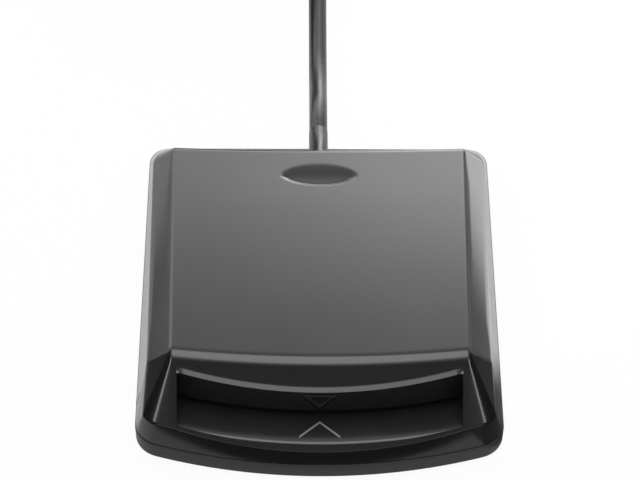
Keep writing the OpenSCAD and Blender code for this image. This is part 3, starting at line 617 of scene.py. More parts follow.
def mitre(n1, n2):
    dot = n1[0] * n2[0] + n1[1] * n2[1]
    return ((n1[0] + n2[0]) / (1 + dot), (n1[1] + n2[1]) / (1 + dot))


def outward(lean):
    """Outward direction of a wall that leans in, as a run and a rise."""
    return cos(lean), sin(lean)


def upward(slope):
    """Outward direction of a flat that slopes, as a run and a rise."""
    return sin(slope), cos(slope)


def crease_height(x, y):
    """Height at which the nose meets the front wall."""
    reach = y - JOINT_Z * FRONT_RUN - brow_row(x) + brow_height(x) / NOSE_FALL
    return min(NOSE_CORNER_Z, reach / (1 / NOSE_FALL - FRONT_RUN))


def back_point(x, nx, ny, g, low):
    """Where the bevel ends at the sloping back, on a corner that is round in plan."""
    run = BACK_OUT * TOP_FALL
    z = (bevel_height(FOOT_BACK_Y) - JOINT_Z * run) / (1 - run)
    y = FOOT_BACK_Y - (z - JOINT_Z) * BACK_OUT
    end_x = side_wall(y, z)
    thick = g * (1 / cos(BACK_LEAN) - low[1] * BACK_OUT)
    return (copysign(end_x - BACK_ROUND_R, x) + nx * (BACK_ROUND_R - g * low[0]),
            y - BACK_ROUND_R + ny * (BACK_ROUND_R - thick), z - g * low[1])


def round_edge(r, g, first, last):
    """Runs and rises of the places on an edge's round, from its middle."""
    angles = [first + (last - first) * j / EDGE_STEPS for j in range(EDGE_STEPS + 1)]
    return [((r - g) * sin(a), (r - g) * cos(a)) for a in angles]


def cover_points(g):
    points = [(x - g * nx, y - g * ny, JOINT_Z - HULL_BELOW) for x, y, nx, ny in outline]
    bevel_w = side_wall(0, bevel_height(0)) - TOP_W / 2
    bevel = atan(BEVEL_DROP / bevel_w)
    low = mitre(outward(SIDE_LEAN), upward(bevel))
    crease = mitre(outward(FRONT_LEAN), upward(NOSE_SLOPE))
    for x, y, nx, ny in outline:
        if ny < FACES_FRONT:
            z = crease_height(x, y)
            k = (z - JOINT_Z) * FRONT_RUN + g * crease[0]
            points.append((x - k * nx, y - k * ny, z - g * crease[1]))
        if ny > -SIDE_TAPER and y > 0:
            points.append(back_point(x, nx, ny, g, low))
    side_x = TOP_W / 2 - g * tan(bevel / 2)
    shift = mitre(upward(TOP_SLOPE), (-sin(NOSE_SLOPE), cos(NOSE_SLOPE)))
    for i in range(BROW_COLUMNS + 1):
        x = side_x * (2 * i / BROW_COLUMNS - 1)
        for run, rise in round_edge(BROW_R, g, -TOP_SLOPE, NOSE_SLOPE):
            points.append((x, brow_row(x) - BROW_R * shift[0] - run,
                           brow_height(x) - BROW_R * shift[1] + rise))
    shift = mitre(upward(TOP_SLOPE), outward(BACK_LEAN))
    end_x = side_wall(BEVEL_Y, bevel_height(BEVEL_Y)) - g * low[0]
    for side in (-1, 1):
        points.append((side * end_x, BEVEL_Y, bevel_height(BEVEL_Y) - g * low[1]))
        for run, rise in round_edge(BACK_EDGE_R, g, TOP_SLOPE, pi / 2 - BACK_LEAN):
            points.append((side * side_x, BACK_Y - BACK_EDGE_R * shift[0] + run,
                           BACK_Z - BACK_EDGE_R * shift[1] + rise))
    return points


print("hull of the cover:", len(cover_points(0)), "points")


# %% Places over a hull
STEEPEST_TOP = 0.45


def hull_tree(points):
    work = bmesh.new()
    for p in points:
        work.verts.new(p)
    bmesh.ops.convex_hull(work, input=work.verts)
    tree = BVHTree.FromBMesh(work)
    work.free()
    return tree


def settle(point, tree, r, hold="xy", rounds=10):
    """The point r outside the hull over the held coordinates, and its outward direction."""
    place = Vector(point)
    for turn in range(rounds):
        near = tree.find_nearest(place)[0]
        out = (place - near).normalized()
        on = near + out * r
        if hold == "xy" and out.z > STEEPEST_TOP and turn < rounds - 1:
            place = Vector((point[0], point[1], on.z))
        elif hold == "z" and turn < rounds - 1:
            place = Vector((on.x, on.y, point[2]))
        else:
            return on, out
    return on, out

# %% [markdown]
# Upper cover
# The shell is a grid of points over the plan, with rows that follow the brow, the
# lip over the mouth and the front rim, and columns that run along the mouth's
# sides. The cells inside the mouth are left out, so its edges are clean lines.
# Walls go down from the grid's border to the joint line. Each bevel is made straight
# across, because a gloss face shows the least wave, and the points round its front
# end are spread, so that no cells fold where three rounds meet. A second skin inside
# gives the wall its thickness.

# %% Sizes of the mouth
MOUTH_HALF = 28.3
MOUTH_Z = 8.6
ROOF_Z = 15.4
ROOF_ARC_R = 258
WALL_Y = FRONT_Y + 9.97
WALL_ARC_R = 100
INSERT_T = 1.2
RIM_T = 0.8
LIP_BAND = 1.1
LIP_RISE = NOSE_FALL - tan(radians(27))
JOINT_GROOVE = 0.12
CHEEK_STEPS = 22
MOUTH_STEPS = 84
BORDER_INSET = 0.3
BORDER_CORNER_R = BACK_CORNER_R - 0.8
BEVEL_END_RUN = 11.5
SCOOP_BAND = 4.4
WALL_SHARES = [0.03, 0.07, 0.12, 0.18, 0.26, 0.36, 0.48, 0.61, 0.74, 0.86, 0.95]
GROOVE_ROW = len(WALL_SHARES)
print("mouth:", 2 * MOUTH_HALF, "mm wide and", round(ROOF_Z - MOUTH_Z, 1), "mm high")


def roof_height(x):
    return ROOF_Z + sagitta(ROOF_ARC_R, x)


def lip_row(x):
    return brow_row(x) - (brow_height(x) - roof_height(x)) / NOSE_FALL


def rim_row(x):
    lean = (MOUTH_Z - JOINT_Z) * FRONT_RUN
    return FRONT_Y + lean + RIM_T + sagitta(FRONT_ARC_R - lean - RIM_T, x)


def wall_row(x):
    return WALL_Y + sagitta(WALL_ARC_R, x)


def corner_reach(across, r):
    across = min(across, r * sqrt(0.5))
    return sqrt(r * r - across * across)


def back_row(x):
    return BACK_CORNER_Y + corner_reach(max(0, abs(x) - BACK_CORNER_X), BORDER_CORNER_R)


def side_limit(y):
    """How far the grid reaches to the side, just inside the bevel's outer edge."""
    z = bevel_height(y)
    if y < BEVEL_Y:
        z = mix(bevel_height(BEVEL_Y), NOSE_CORNER_Z, min(1, (BEVEL_Y - y) / BEVEL_END_RUN))
    z = min(z, JOINT_Z + (FOOT_BACK_Y - y) / BACK_OUT)
    limit = side_wall(y, z) - BORDER_INSET
    over = y - BACK_CORNER_Y
    if over > 0:
        limit = min(limit, BACK_CORNER_X + corner_reach(over, BORDER_CORNER_R))
    return limit


# %% Grid of the cover
def cover_lines():
    """Lines across the plan from back to front, each with its steps from the one before."""
    return [(back_row, 0), (lambda x: BACK_Y + 0.9, 12), (lambda x: BACK_Y - 1.2, 26),
            (lambda x: SCOOP_Y + SCOOP_BAND, 4), (lambda x: SCOOP_Y - SCOOP_BAND, 40),
            (lambda x: brow_row(x) + 2.2, 60), (lambda x: brow_row(x) - 2, 14),
            (lambda x: lip_row(x) + LIP_BAND, 6), (lip_row, 5), (rim_row, 20),
            (lambda x: rim_row(x) - 0.45, 3)]


def cover_grid():
    """Columns, rows as functions of x, and the numbers of the rows that are lines."""
    mouth = [("mouth", MOUTH_HALF * (2 * i / MOUTH_STEPS - 1)) for i in range(MOUTH_STEPS + 1)]
    cheek = [("cheek", i / CHEEK_STEPS) for i in range(1, CHEEK_STEPS + 1)]
    columns = [(kind, -share) for kind, share in reversed(cheek)] + mouth + cheek
    lines = cover_lines()
    rows, ends = [back_row], []
    for (first, _), (last, steps) in zip(lines, lines[1:]):
        rows += [lambda x, a=first, b=last, t=i / steps: mix(a(x), b(x), t) for i in range(1, steps + 1)]
        ends.append(len(rows) - 1)
    return columns, rows, ends


def plan_place(column, row):
    kind, value = column
    if kind == "mouth":
        return value, row(value)
    x = copysign(mix(MOUTH_HALF, half_width(0), abs(value)), value)
    for _ in range(6):
        x = copysign(mix(MOUTH_HALF, side_limit(row(x)), abs(value)), value)
    return x, row(x)


print("cover grid:", *(len(part) for part in cover_grid()[:2]), "columns and rows")


# %% Drawn back and thumb scoop
BACK_DRAW = 0.75
BACK_DRAW_FROM = 20
BACK_DRAW_HALF = 33


def back_draw(x, y):
    """The back wall is drawn in a little between its corners."""
    share = smooth_step((y - BACK_DRAW_FROM) / (BACK_Y - BACK_DRAW_FROM))
    return BACK_DRAW * max(0, 1 - (x / BACK_DRAW_HALF)**2) * share


SCOOP_Y = BACK_Y - 7.6
SCOOP_HALF_L = 7.2
SCOOP_HALF_W = 3.8
SCOOP_DEEP = 0.95
SCOOP_RISE = 0.42


def scoop_drop(x, y):
    """A thumb scoop: it slopes gently down from the back to a short rise at its front."""
    half = sqrt(max(1e-9, 1 - (x / SCOOP_HALF_L)**2))
    u = (y - SCOOP_Y) / SCOOP_HALF_W / half
    if abs(x) >= SCOOP_HALF_L or abs(u) >= 1:
        return 0
    fall = smooth_step((1 - u) / 3.4) * 2.1
    rise = smooth_step((u + 1) / SCOOP_RISE)
    return SCOOP_DEEP * half * min(1, fall) * rise


print("scoop:", round(scoop_drop(0, SCOOP_Y), 2), "mm deep in its middle")


# %% Truer bevels
def true_bevels(outer, last_i, last_j):
    """Make each bevel straight across between its two edges."""
    for columns in (range(CHEEK_STEPS), range(last_j, last_j - CHEEK_STEPS, -1)):
        for i in range(last_i + 1):
            y = outer[i, columns[0]].y
            low = side_wall(y, bevel_height(y)) - EDGE_R
            row = [outer[i, j] for j in columns if TOP_W / 2 + EDGE_R < abs(outer[i, j].x) < low]
            if len(row) > 2 and BEVEL_Y + 1 < y < BACK_Y - 5:
                a, b = row[0], row[-1]
                for place in row[1:-1]:
                    place.z = mix(a.z, b.z, (place.x - a.x) / (b.x - a.x))


# %% Points round the bevels' front ends
RELAX_REACH = 6.5
RELAX_ROUNDS = 30


def relax(outer, border, tree):
    """Spread the points round each bevel's front end over the rounded hull, so no cells fold."""
    at_border = {key: n for n, key in enumerate(border)}
    count = len(border)

    def beside(key):
        if key[0] == "wall":
            n, k = key[1:]
            above = ("wall", n, k - 1) if k else border[n]
            return [("wall", (n - 1) % count, k), ("wall", (n + 1) % count, k), above, ("wall", n, k + 1)]
        i, j = key
        round_it = [(i - 1, j), (i + 1, j), (i, j - 1), (i, j + 1)]
        if key in at_border:
            round_it.append(("wall", at_border[key], 0))
        return [other for other in round_it if other in outer]

    end_x = half_width(BEVEL_Y) - 1.5
    ends = [Vector((side * end_x, BEVEL_Y - 1, bevel_height(BEVEL_Y))) for side in (-1, 1)]
    near = [key for key, place in outer.items()
            if min((place - end).length for end in ends) < RELAX_REACH and abs(place.x) > MOUTH_HALF + 1
            and not (key[0] == "wall" and key[2] > GROOVE_ROW - 3)]
    for _ in range(RELAX_ROUNDS):
        for key in near:
            others = [outer[other] for other in beside(key)]
            place = sum(others, Vector()) / len(others)
            foot = tree.find_nearest(place)[0]
            outer[key] = foot + (place - foot).normalized() * EDGE_R


# %% Walls of the cover
WALL_START = 0.6
LEVEL_FROM = 0.2
FRONT_END_X = 36


def wall_foot(x, y, at_front, at_back, at_side):
    """Where the wall below a point of the border meets the joint line."""
    foot = Vector((x, y, 0))
    if at_front:
        foot.y = FRONT_Y + sagitta(FRONT_ARC_R, min(FRONT_END_X, abs(x)))
    if at_back:
        foot.y = BACK_CORNER_Y + corner_reach(max(0, abs(x) - BACK_CORNER_X), BACK_CORNER_R)
    if at_side:
        over = y - BACK_CORNER_Y
        reach = BACK_CORNER_X + corner_reach(over, BACK_CORNER_R) if over > 0 else half_width(y)
        foot.x = copysign(reach, x)
    return foot


def wall_below(top, foot, tree):
    """Places down a wall with their outward directions. The last turns in at the joint line."""
    push = (foot - top.xy.to_3d()).normalized() * WALL_START
    column = []
    for share in WALL_SHARES:
        z = mix(top.z, JOINT_Z + JOINT_GROOVE, share)
        start = Vector((mix(top.x, foot.x, share), mix(top.y, foot.y, share), z)) + push
        column.append(settle(start, tree, EDGE_R, hold="z" if share > LEVEL_FROM else "none", rounds=5))
    start = foot + push + Vector((0, 0, JOINT_Z + 2.2 * JOINT_GROOVE))
    low, out = settle(start, tree, EDGE_R, hold="z", rounds=6)
    side = out.xy.to_3d().normalized()
    edge = low - side * 1.2 * JOINT_GROOVE
    edge.z = JOINT_Z + JOINT_GROOVE
    return column + [(low, out), (edge, side)]


# %% Both skins of the cover
INNER_R = 0.3
THIN_FROM = -24


def outer_skin(columns, rows, border):
    """The outer points and their outward directions, over the top and then down the walls."""
    tree = hull_tree(cover_points(EDGE_R))
    last_i, last_j = len(rows) - 1, len(columns) - 1
    outer, out_of = {}, {}
    for i, row in enumerate(rows):
        for j, column in enumerate(columns):
            x, y = plan_place(column, row)
            outer[i, j], out_of[i, j] = settle((x, y, top_height(y) + 2), tree, EDGE_R)
    for n, key in enumerate(border):
        top = outer[key]
        foot = wall_foot(top.x, top.y, key[0] == last_i, key[0] == 0, key[1] in (0, last_j))
        for k, (place, out) in enumerate(wall_below(top, foot, tree)):
            outer["wall", n, k], out_of["wall", n, k] = place, out
    true_bevels(outer, last_i, last_j)
    relax(outer, border, tree)
    return outer, out_of


def inner_place(place, out, tree):
    """A wall's thickness inside the outer skin, and thinner round the mouth."""
    near = tree.find_nearest(place)[0]
    thick = near + (place - near).normalized() * INNER_R
    return thick.lerp(place - out * RIM_T, smooth_step((THIN_FROM - place.y) / 3))


def fit_mouth(i, place, inner, lines):
    """Lift the lip's band, and bring the inner skin to the lining round the mouth."""
    band_start, lip_at, rim_at = lines
    x, y = place.x, place.y
    if band_start < i <= lip_at:
        lift = (lip_row(x) + LIP_BAND - y) * LIP_RISE * smooth_step((MOUTH_HALF - abs(x)) / 0.5)
        place = place + Vector((0, 0, lift))
    if i == lip_at:
        inner = Vector((x, wall_row(x) + INSERT_T + 0.15, roof_height(x) + 0.05))
    elif i == rim_at:
        inner = Vector((x, y + 0.02, 6))
    elif lip_at < i < rim_at:
        inner = Vector((x, y, place.z - RIM_T))
    return place, inner


# %% The cover itself
def make_cover():
    columns, rows, ends = cover_grid()
    lines = band_start, lip_at, rim_at = ends[-4:-1]
    last_i, last_j = len(rows) - 1, len(columns) - 1
    first, last = CHEEK_STEPS, last_j - CHEEK_STEPS
    border = ([(last_i, j) for j in range(last_j)] + [(i, last_j) for i in range(last_i, 0, -1)]
              + [(0, j) for j in range(last_j, 0, -1)] + [(i, 0) for i in range(last_i)])
    outer, out_of = outer_skin(columns, rows, border)
    inner_tree = hull_tree(cover_points(COVER_WALL + INNER_R))
    points, faces, index = [], [], {}
    for key, place in outer.items():
        inner = inner_place(place, out_of[key], inner_tree)
        shift = Vector((0, back_draw(place.x, place.y), 0))
        drop = Vector((0, 0, scoop_drop(place.x, place.y)))
        if key[0] == "wall":
            inner.z = place.z if key[2] >= GROOVE_ROW else inner.z
        elif lip_at < key[0] < rim_at and first < key[1] < last:
            continue
        elif first <= key[1] <= last:
            place, inner = fit_mouth(key[0], place, inner, lines)
        index[key] = len(points)
        points += [place - shift - drop, inner - shift]

    def cell(*corners):
        ring = [index[key] for key in corners]
        faces.append(ring)
        faces.append([k + 1 for k in reversed(ring)])

    for i in range(last_i):
        for j in range(last_j):
            if not (lip_at <= i < rim_at and first <= j < last):
                cell((i, j), (i + 1, j), (i + 1, j + 1), (i, j + 1))
    for n in range(len(border)):
        m = (n + 1) % len(border)
        cell(border[n], ("wall", n, 0), ("wall", m, 0), border[m])
        for k in range(GROOVE_ROW + 1):
            cell(("wall", n, k), ("wall", n, k + 1), ("wall", m, k + 1), ("wall", m, k))
        a, b = index["wall", n, GROOVE_ROW + 1], index["wall", m, GROOVE_ROW + 1]
        faces.append((a, a + 1, b + 1, b))
    rim = ([(lip_at, j) for j in range(first, last)] + [(i, last) for i in range(lip_at, rim_at)]
           + [(rim_at, j) for j in range(last, first, -1)] + [(i, first) for i in range(rim_at, lip_at, -1)])
    for key, other in zip(rim, rim[1:] + rim[:1]):
        a, b = index[key], index[other]
        faces.append((a, b, b + 1, a + 1))
    return new_piece("cover_shell", points, faces, gloss_black)


cover = stands_for(make_cover(), "cover_gloss", "upper_cover")
print("cover:", len(cover.data.polygons), "faces")

# %% [markdown]
# Mouth lining
# The card mouth is lined with a duller piece of its own: a flat floor with a rounded
# sill, two sides, and a back wall with the slot. Its section changes only a little
# from one side to the other, so it is drawn along X through sections of equal
# count: a low L shape in the middle and full height at both ends. The slot and the
# window are cut afterwards, and the printed arrow keeps its construction solid.

# %% Mouth lining
SILL_R = 1.1
FLOOR_UNDER = 7.4
LINING_END = MOUTH_HALF + INSERT_T
SLOT_HALF = 27.3
SLOT_TOP = 9.7
SKIN = 0.9
LINING_GAP = 0.15
SILL_LOW = 7.2
SILL_STEPS = 7
FLOOR_END = 2.1
LINING_STEPS = 72


def nose_height(x, y):
    return brow_height(x) - (brow_row(x) - y) * NOSE_FALL


def floor_line(x):
    """Front to back along the floor: the sill's rounding, then the flat."""
    front, back = rim_row(x) + LINING_GAP, wall_row(x)
    line = [(front + SILL_R * (1 - cos(a)), MOUTH_Z - SILL_R * (1 - sin(a)))
            for a in (pi / 2 * i / SILL_STEPS for i in range(SILL_STEPS + 1))]
    flat_end = back - FLOOR_END
    line += [(mix(front + SILL_R, flat_end, t), MOUTH_Z) for t in (0.35, 0.7, 1)]
    return line + [(mix(flat_end, back, t), MOUTH_Z) for t in (0.5, 1)]


def lining_section(x, full):
    front, back = rim_row(x) + LINING_GAP, wall_row(x)
    line = floor_line(x)
    roof = roof_height(x) + 0.2
    if full:
        line = [(y, max(MOUTH_Z + 0.2, nose_height(x, y) - SKIN)) for y, z in line]
        roof = line[-1][1] + 0.02
    section = [(front, SILL_LOW)] + line
    section += [(back, roof), (back + INSERT_T, min(roof, roof_height(x)))]
    section += [(back + INSERT_T, FLOOR_UNDER), (mix(front, back, 0.5), FLOOR_UNDER)]
    return [Vector((x, y, z)) for y, z in section]


def make_lining():
    middle = [MOUTH_HALF * (2 * i / LINING_STEPS - 1) for i in range(LINING_STEPS + 1)]
    rings = [lining_section(-LINING_END, True), lining_section(-MOUTH_HALF, True)]
    rings += [lining_section(x, False) for x in middle]
    rings += [lining_section(MOUTH_HALF, True), lining_section(LINING_END, True)]
    piece = new_piece("mouth_lining", *loft(rings), lining_black, smooth_angle=32)
    slot = block((-SLOT_HALF, WALL_Y - 1, MOUTH_Z + 0.06), (SLOT_HALF, WALL_Y + 9, SLOT_TOP))
    cut(piece, *slot, smooth_angle=32)
    cut(piece, *loft([window_ring(0.06, y) for y in (WALL_Y - 1, WALL_Y + 3)]), smooth_angle=32)
    return stands_for(piece, "mouth_matte", "mouth_insert")


# %% [markdown]
# Status window
# The window in the wall is a small triangle of smoked plastic, the end of the
# light guide that leads to the lamp. A fine chamfer round its face catches the
# light as a thin line, so it is part of the mesh.

# %% Status window and light guide
WINDOW_W = 6.8
WINDOW_Z = 9.8
WINDOW_H = 4.2
WINDOW_CHAMFER = 0.22
BAR_HALF = 1.5
BAR_LOW = 10.2
BAR_TOP = 11.8
LEG_T = 1.8


def window_triangle(grow):
    """The window's three corners, moved out by grow on every side."""
    slant = hypot(WINDOW_W / 2, WINDOW_H)
    half = WINDOW_W / 2 + grow * (slant + WINDOW_W / 2) / WINDOW_H
    return [(-half, WINDOW_Z + WINDOW_H + grow), (half, WINDOW_Z + WINDOW_H + grow),
            (0, WINDOW_Z - grow * slant / (WINDOW_W / 2))]


def window_ring(grow, y):
    return [Vector((x, y, z)) for x, z in window_triangle(grow)]


def make_guide():
    front, back = WALL_Y + 0.05, WALL_Y + INSERT_T + 0.1
    rings = [window_ring(-WINDOW_CHAMFER, front - 0.06), window_ring(-0.02, front + 0.1),
             window_ring(-0.02, back)]
    low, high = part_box("light_guide")
    leg_back = high[1] / MM
    bar = block((-BAR_HALF, back, BAR_LOW), (BAR_HALF, leg_back, BAR_TOP))
    leg = block((-BAR_HALF, leg_back - LEG_T, low[2] / MM), (BAR_HALF, leg_back, BAR_LOW + 0.05))
    piece = new_piece("guide_and_window", *loft(rings), smoked_window)
    cut(piece, *bar, operation="UNION")
    cut(piece, *leg, operation="UNION")
    return stands_for(piece, "guide_smoke", "light_guide")


lining = make_lining()
guide = make_guide()
dress(grey_print, "insertion_arrow")
print("lining:", len(lining.data.polygons), "faces; guide:", len(guide.data.polygons))

# %% [markdown]
# Base
# The base is a shallow satin tray under the joint line. Its wall follows the same
# outline as the cover, with a narrow groove between the two, and turns under with a
# small round. A lip inside it holds the cover. The seats for feet, screw heads and
# label are cut from below.

# %% Base tray
TRAY_EDGE_R = 0.7
FOOT_GAP = 0.8
FLOOR_Z = 2.4
LIP_TOP = 5.5
LIP_IN = 2.1
LIP_T = 0.8
LIP_BACK = 1.9
SCREW_HEAD_Z = 1.1
SCREW_HEAD_TOP = SCREW_HEAD_Z + 1.3
SCREW_HEAD_R = 1.9
FOOT_R = 4
FOOT_SEAT = 0.5
LABEL_W = 34
LABEL_D = 22
LABEL_T = 0.15
SEAT_GAP = 0.1
PILLAR_R = 2.9
SCREW_BORE_R = 1.2
BOARD_PILLAR_R = 2.2
BOARD_SCREW_X = 24
FEET_SPAN = (52, 48.5)
FEET_CENTRE = (0, 1.5)
SCREW_SPAN = (62, 50)
SCREW_CENTRE = (0, 6.75)


def outline_ring(inset, z):
    return [Vector((x - inset * nx, y - inset * ny - back_draw(x, y), z)) for x, y, nx, ny in outline]


def lip_ring(inset, z):
    """A ring of the lip, kept forward of the sloping back."""
    back = FOOT_BACK_Y - LIP_BACK - inset
    return [Vector((p.x, min(p.y, back), p.z)) for p in outline_ring(inset, z)]


def on_grid(span, centre):
    return [(centre[0] + sx * span[0] / 2, centre[1] + sy * span[1] / 2)
            for sx in (-1, 1) for sy in (-1, 1)]


def drum(x, y, low, high, r):
    return turned([(low, r), (high, r)], (x, y, 0), sides=40)


def make_base():
    inside = LIP_IN + LIP_T
    rings = [lip_ring(inset, z) for inset, z in (
        (inside, FLOOR_Z), (inside, LIP_TOP - 0.15), (inside - 0.15, LIP_TOP), (LIP_IN + 0.15, LIP_TOP),
        (LIP_IN, LIP_TOP - 0.15), (LIP_IN, JOINT_Z - 0.05))]
    rings += [outline_ring(inset, JOINT_Z - down)
              for inset, down in ((0.3, 0.05), (0.16, 0.07), (0.04, 0.15), (0, 0.3))]
    for i in range(9):
        a = pi / 2 * i / 8
        inset = TRAY_EDGE_R * (0.25 + 0.75 * (1 - cos(a)))
        rings.append(outline_ring(inset, FOOT_GAP + TRAY_EDGE_R * (1 - sin(a))))
    piece = new_piece("base_tray", *loft(rings), satin_black)
    screws = on_grid(SCREW_SPAN, SCREW_CENTRE)
    low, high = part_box("circuit_board")
    pillars = [drum(x, y, FLOOR_Z - 0.2, JOINT_Z, PILLAR_R) for x, y in screws]
    pillars += [drum(x, y, FLOOR_Z - 0.2, low[2] / MM, BOARD_PILLAR_R)
                for x in (-BOARD_SCREW_X, BOARD_SCREW_X) for y in (low[1] / MM + 4, high[1] / MM - 2.6)]
    cut(piece, *joined(*pillars), operation="UNION")
    seats = [drum(x, y, 0, FOOT_GAP + FOOT_SEAT, FOOT_R + SEAT_GAP)
             for x, y in on_grid(FEET_SPAN, FEET_CENTRE)]
    seats += [drum(x, y, 0, SCREW_HEAD_TOP, SCREW_HEAD_R + SEAT_GAP) for x, y in screws]
    seats.append(block((-LABEL_W / 2, -LABEL_D / 2, 0),
                       (LABEL_W / 2, LABEL_D / 2, FOOT_GAP + LABEL_T + SEAT_GAP)))
    cut(piece, *joined(*seats))
    cut(piece, *joined(*(drum(x, y, SCREW_HEAD_Z, JOINT_Z + 1, SCREW_BORE_R) for x, y in screws)))
    return stands_for(piece, "base_satin", "lower_cover")


base = make_base()
print("base:", len(base.data.polygons), "faces")

# %% [markdown]
# Feet and screws
# Each of these is one shape set out on a small grid. A Geometry Nodes tree does
# the setting out: a grid of points, the shape on each of them, then real geometry
# with its material. The same tree serves the feet, the cover screws and the two
# screws of the board.

# %% Tree that sets a shape out on a grid
def grid_tree():
    tree = bpy.data.node_groups.new("set out on a grid", "GeometryNodeTree")
    tree.interface.new_socket("Geometry", in_out="OUTPUT", socket_type="NodeSocketGeometry")
    sockets = {}
    for name, kind in (("Shape", "Object"), ("Span X", "Float"), ("Span Y", "Float"), ("Columns", "Int"),
                       ("Rows", "Int"), ("Centre", "Vector"), ("Finish", "Material")):
        made = tree.interface.new_socket(name, in_out="INPUT", socket_type="NodeSocket" + kind)
        sockets[name] = made.identifier
    given = node(tree, "NodeGroupInput").outputs
    grid = output(tree, "GeometryNodeMeshGrid", {"Size X": given["Span X"], "Size Y": given["Span Y"],
                                                 "Vertices X": given["Columns"], "Vertices Y": given["Rows"]})
    spots = output(tree, "GeometryNodeTransform", {"Geometry": grid, "Translation": given["Centre"]})
    shape = output(tree, "GeometryNodeObjectInfo", {"Object": given["Shape"]}, "Geometry")
    placed = output(tree, "GeometryNodeInstanceOnPoints", {"Points": spots, "Instance": shape})
    real = output(tree, "GeometryNodeRealizeInstances", {"Geometry": placed})
    finished = output(tree, "GeometryNodeSetMaterial", {"Geometry": real, "Material": given["Finish"]})
    node(tree, "NodeGroupOutput", {"Geometry": finished})
    return tree, sockets


setting_out, inputs = grid_tree()


def set_out(name, shape, span, centre, material, slot, node_name, rows=2):
    piece = add_piece(name, bpy.data.meshes.new(name), material)
    change = piece.modifiers.new("set out", "NODES")
    change.node_group = setting_out
    values = {"Shape": shape, "Span X": span[0] * MM, "Span Y": span[1] * MM, "Columns": 2,
              "Rows": rows, "Centre": (centre[0] * MM, centre[1] * MM, 0), "Finish": material}
    for key, value in values.items():
        change[inputs[key]] = value
    baked(piece)
    bpy.data.objects.remove(shape)
    print(name + ":", len(piece.data.polygons), "faces")
    return stands_for(piece, slot, node_name)


# %% Feet, cover screws and board screws
FOOT_PROFILE = [(0.12, 2.6), (0.12, 2.95), (0, 3.1), (0, 3.55), (0.06, 3.8), (0.2, 3.94), (0.4, FOOT_R),
                (FOOT_GAP + FOOT_SEAT, FOOT_R)]


def screw(profile, head_r, low, high):
    """A turned screw, with the cross for its driver cut from low to high."""
    piece = new_piece("screw", *turned(profile, sides=32), zinc)
    arm = head_r / 8
    reach = head_r * 2 / 3
    for x, y in ((reach, arm), (arm, reach)):
        cut(piece, *block((-x, -y, low), (x, y, high)))
    return piece


foot = new_piece("foot", *turned(FOOT_PROFILE), rubber)
set_out("rubber_feet", foot, FEET_SPAN, FEET_CENTRE, rubber, "foot_rubber", "feet")
cover_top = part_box("cover_screws")[1][2] / MM
cover_screw = screw([(SCREW_HEAD_Z, 1.45), (1.18, 1.7), (1.35, 1.86), (1.6, SCREW_HEAD_R),
                     (SCREW_HEAD_TOP, SCREW_HEAD_R), (SCREW_HEAD_TOP, 1), (cover_top - 0.5, 1),
                     (cover_top, 0.6)], SCREW_HEAD_R, 1, 1.75)
set_out("cover_screw_set", cover_screw, SCREW_SPAN, SCREW_CENTRE, zinc, "screw_steel", "cover_screws")

# %% [markdown]
# Label and board screws
# The label is a plain film in its seat under the base, blank, with round corners.
# The board's two screws are set out by the same tree, in one row.

# %% Label and board screws
def make_label():
    low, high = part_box("base_label")
    ring = rounded_ring((high.x - low.x) / MM, (high.y - low.y) / MM, 1.5)
    rings = [[Vector((x, y, z)) for x, y in ring] for z in (low.z / MM, high.z / MM)]
    return stands_for(new_piece("blank_label", *loft(rings), label_foil), "label_blank", "base_label")


make_label()
low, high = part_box("board_screws")
seat_z = high.z / MM - 0.9
board_screw = screw([(low.z / MM, 0.5), (low.z / MM + 0.5, 0.8), (seat_z, 0.8), (seat_z, 1.5),
                     (seat_z + 0.5, 1.5), (seat_z + 0.75, 1.4), (seat_z + 0.9, 1.1)],
                    1.5, seat_z + 0.45, seat_z + 2)
board_screw_y = (low.y + high.y) / 2 / MM
set_out("board_screw_set", board_screw, (2 * BOARD_SCREW_X, 1), (0, board_screw_y), zinc, "screw_steel",
        "board_screws", rows=1)

# %% [markdown]
# Inside
# The covers hide the board and its parts, so their construction solids stay as they
# are. Each gets its real finish: green solder mask, moulded chips, tinned and gold
# metal, and four coloured wires.

# %% Finishes of the inner parts
dress(mask_green, "circuit_board")
dress(chip_black, "controller_chip", "resistors")
dress(nickel, "crystal", "connector_cover_plate")
dress(ceramic_tan, "capacitors")
dress(connector_black, "connector_frame")
dress(gold, "contact_springs_front", "contact_springs_rear", "contact_tails", "card_switch_leaf",
      "card_switch_contact")
dress(lamp_lens, "status_led")
dress(white_plastic, "cable_header", "cable_socket")
wires = {"wire_red": (0.5, 0.012, 0.01), "wire_white": (0.75, 0.75, 0.72), "wire_green": (0.01, 0.22, 0.03),
         "wire_black": (0.015, 0.015, 0.015)}
for name, colour in wires.items():
    dress(finish_material(name + " insulation", colour, 0.4, 0.3, 0.002), name)
print("inner parts dressed")

# %% [markdown]
# Floor
# The part stands on a plain pale floor. A white that does not depend on the lamps
# comes from a glow that only camera, mirror and glass rays meet. The rest of the
# floor is a plain diffuse surface, which keeps the part's soft shadow.

# %% Floor
CAMERA_GLOW = 0.95
MIRROR_GLOW = 0.35
FLOOR_SIZE = 8000


def glow_through(tree, share, under, strength=1.0):
    """A glow laid over another shader, by a share from 0 to 1."""
    white = output(tree, "ShaderNodeEmission", {"Color": (1, 1, 1, 1), "Strength": strength})
    both = output(tree, "ShaderNodeMixShader", {0: share, 1: under, 2: white})
    feed(tree.nodes["Material Output"], {"Surface": both})


def flat_piece(name, width, height, material):
    """A plain sheet of the studio, never a part of the reader."""
    x, y = width / 2 * MM, height / 2 * MM
    mesh = bpy.data.meshes.new(name)
    mesh.from_pydata([(-x, -y, 0), (x, -y, 0), (x, y, 0), (-x, y, 0)], [], [(0, 1, 2, 3)])
    mesh.materials.append(material)
    made = shown(name, mesh)
    return made


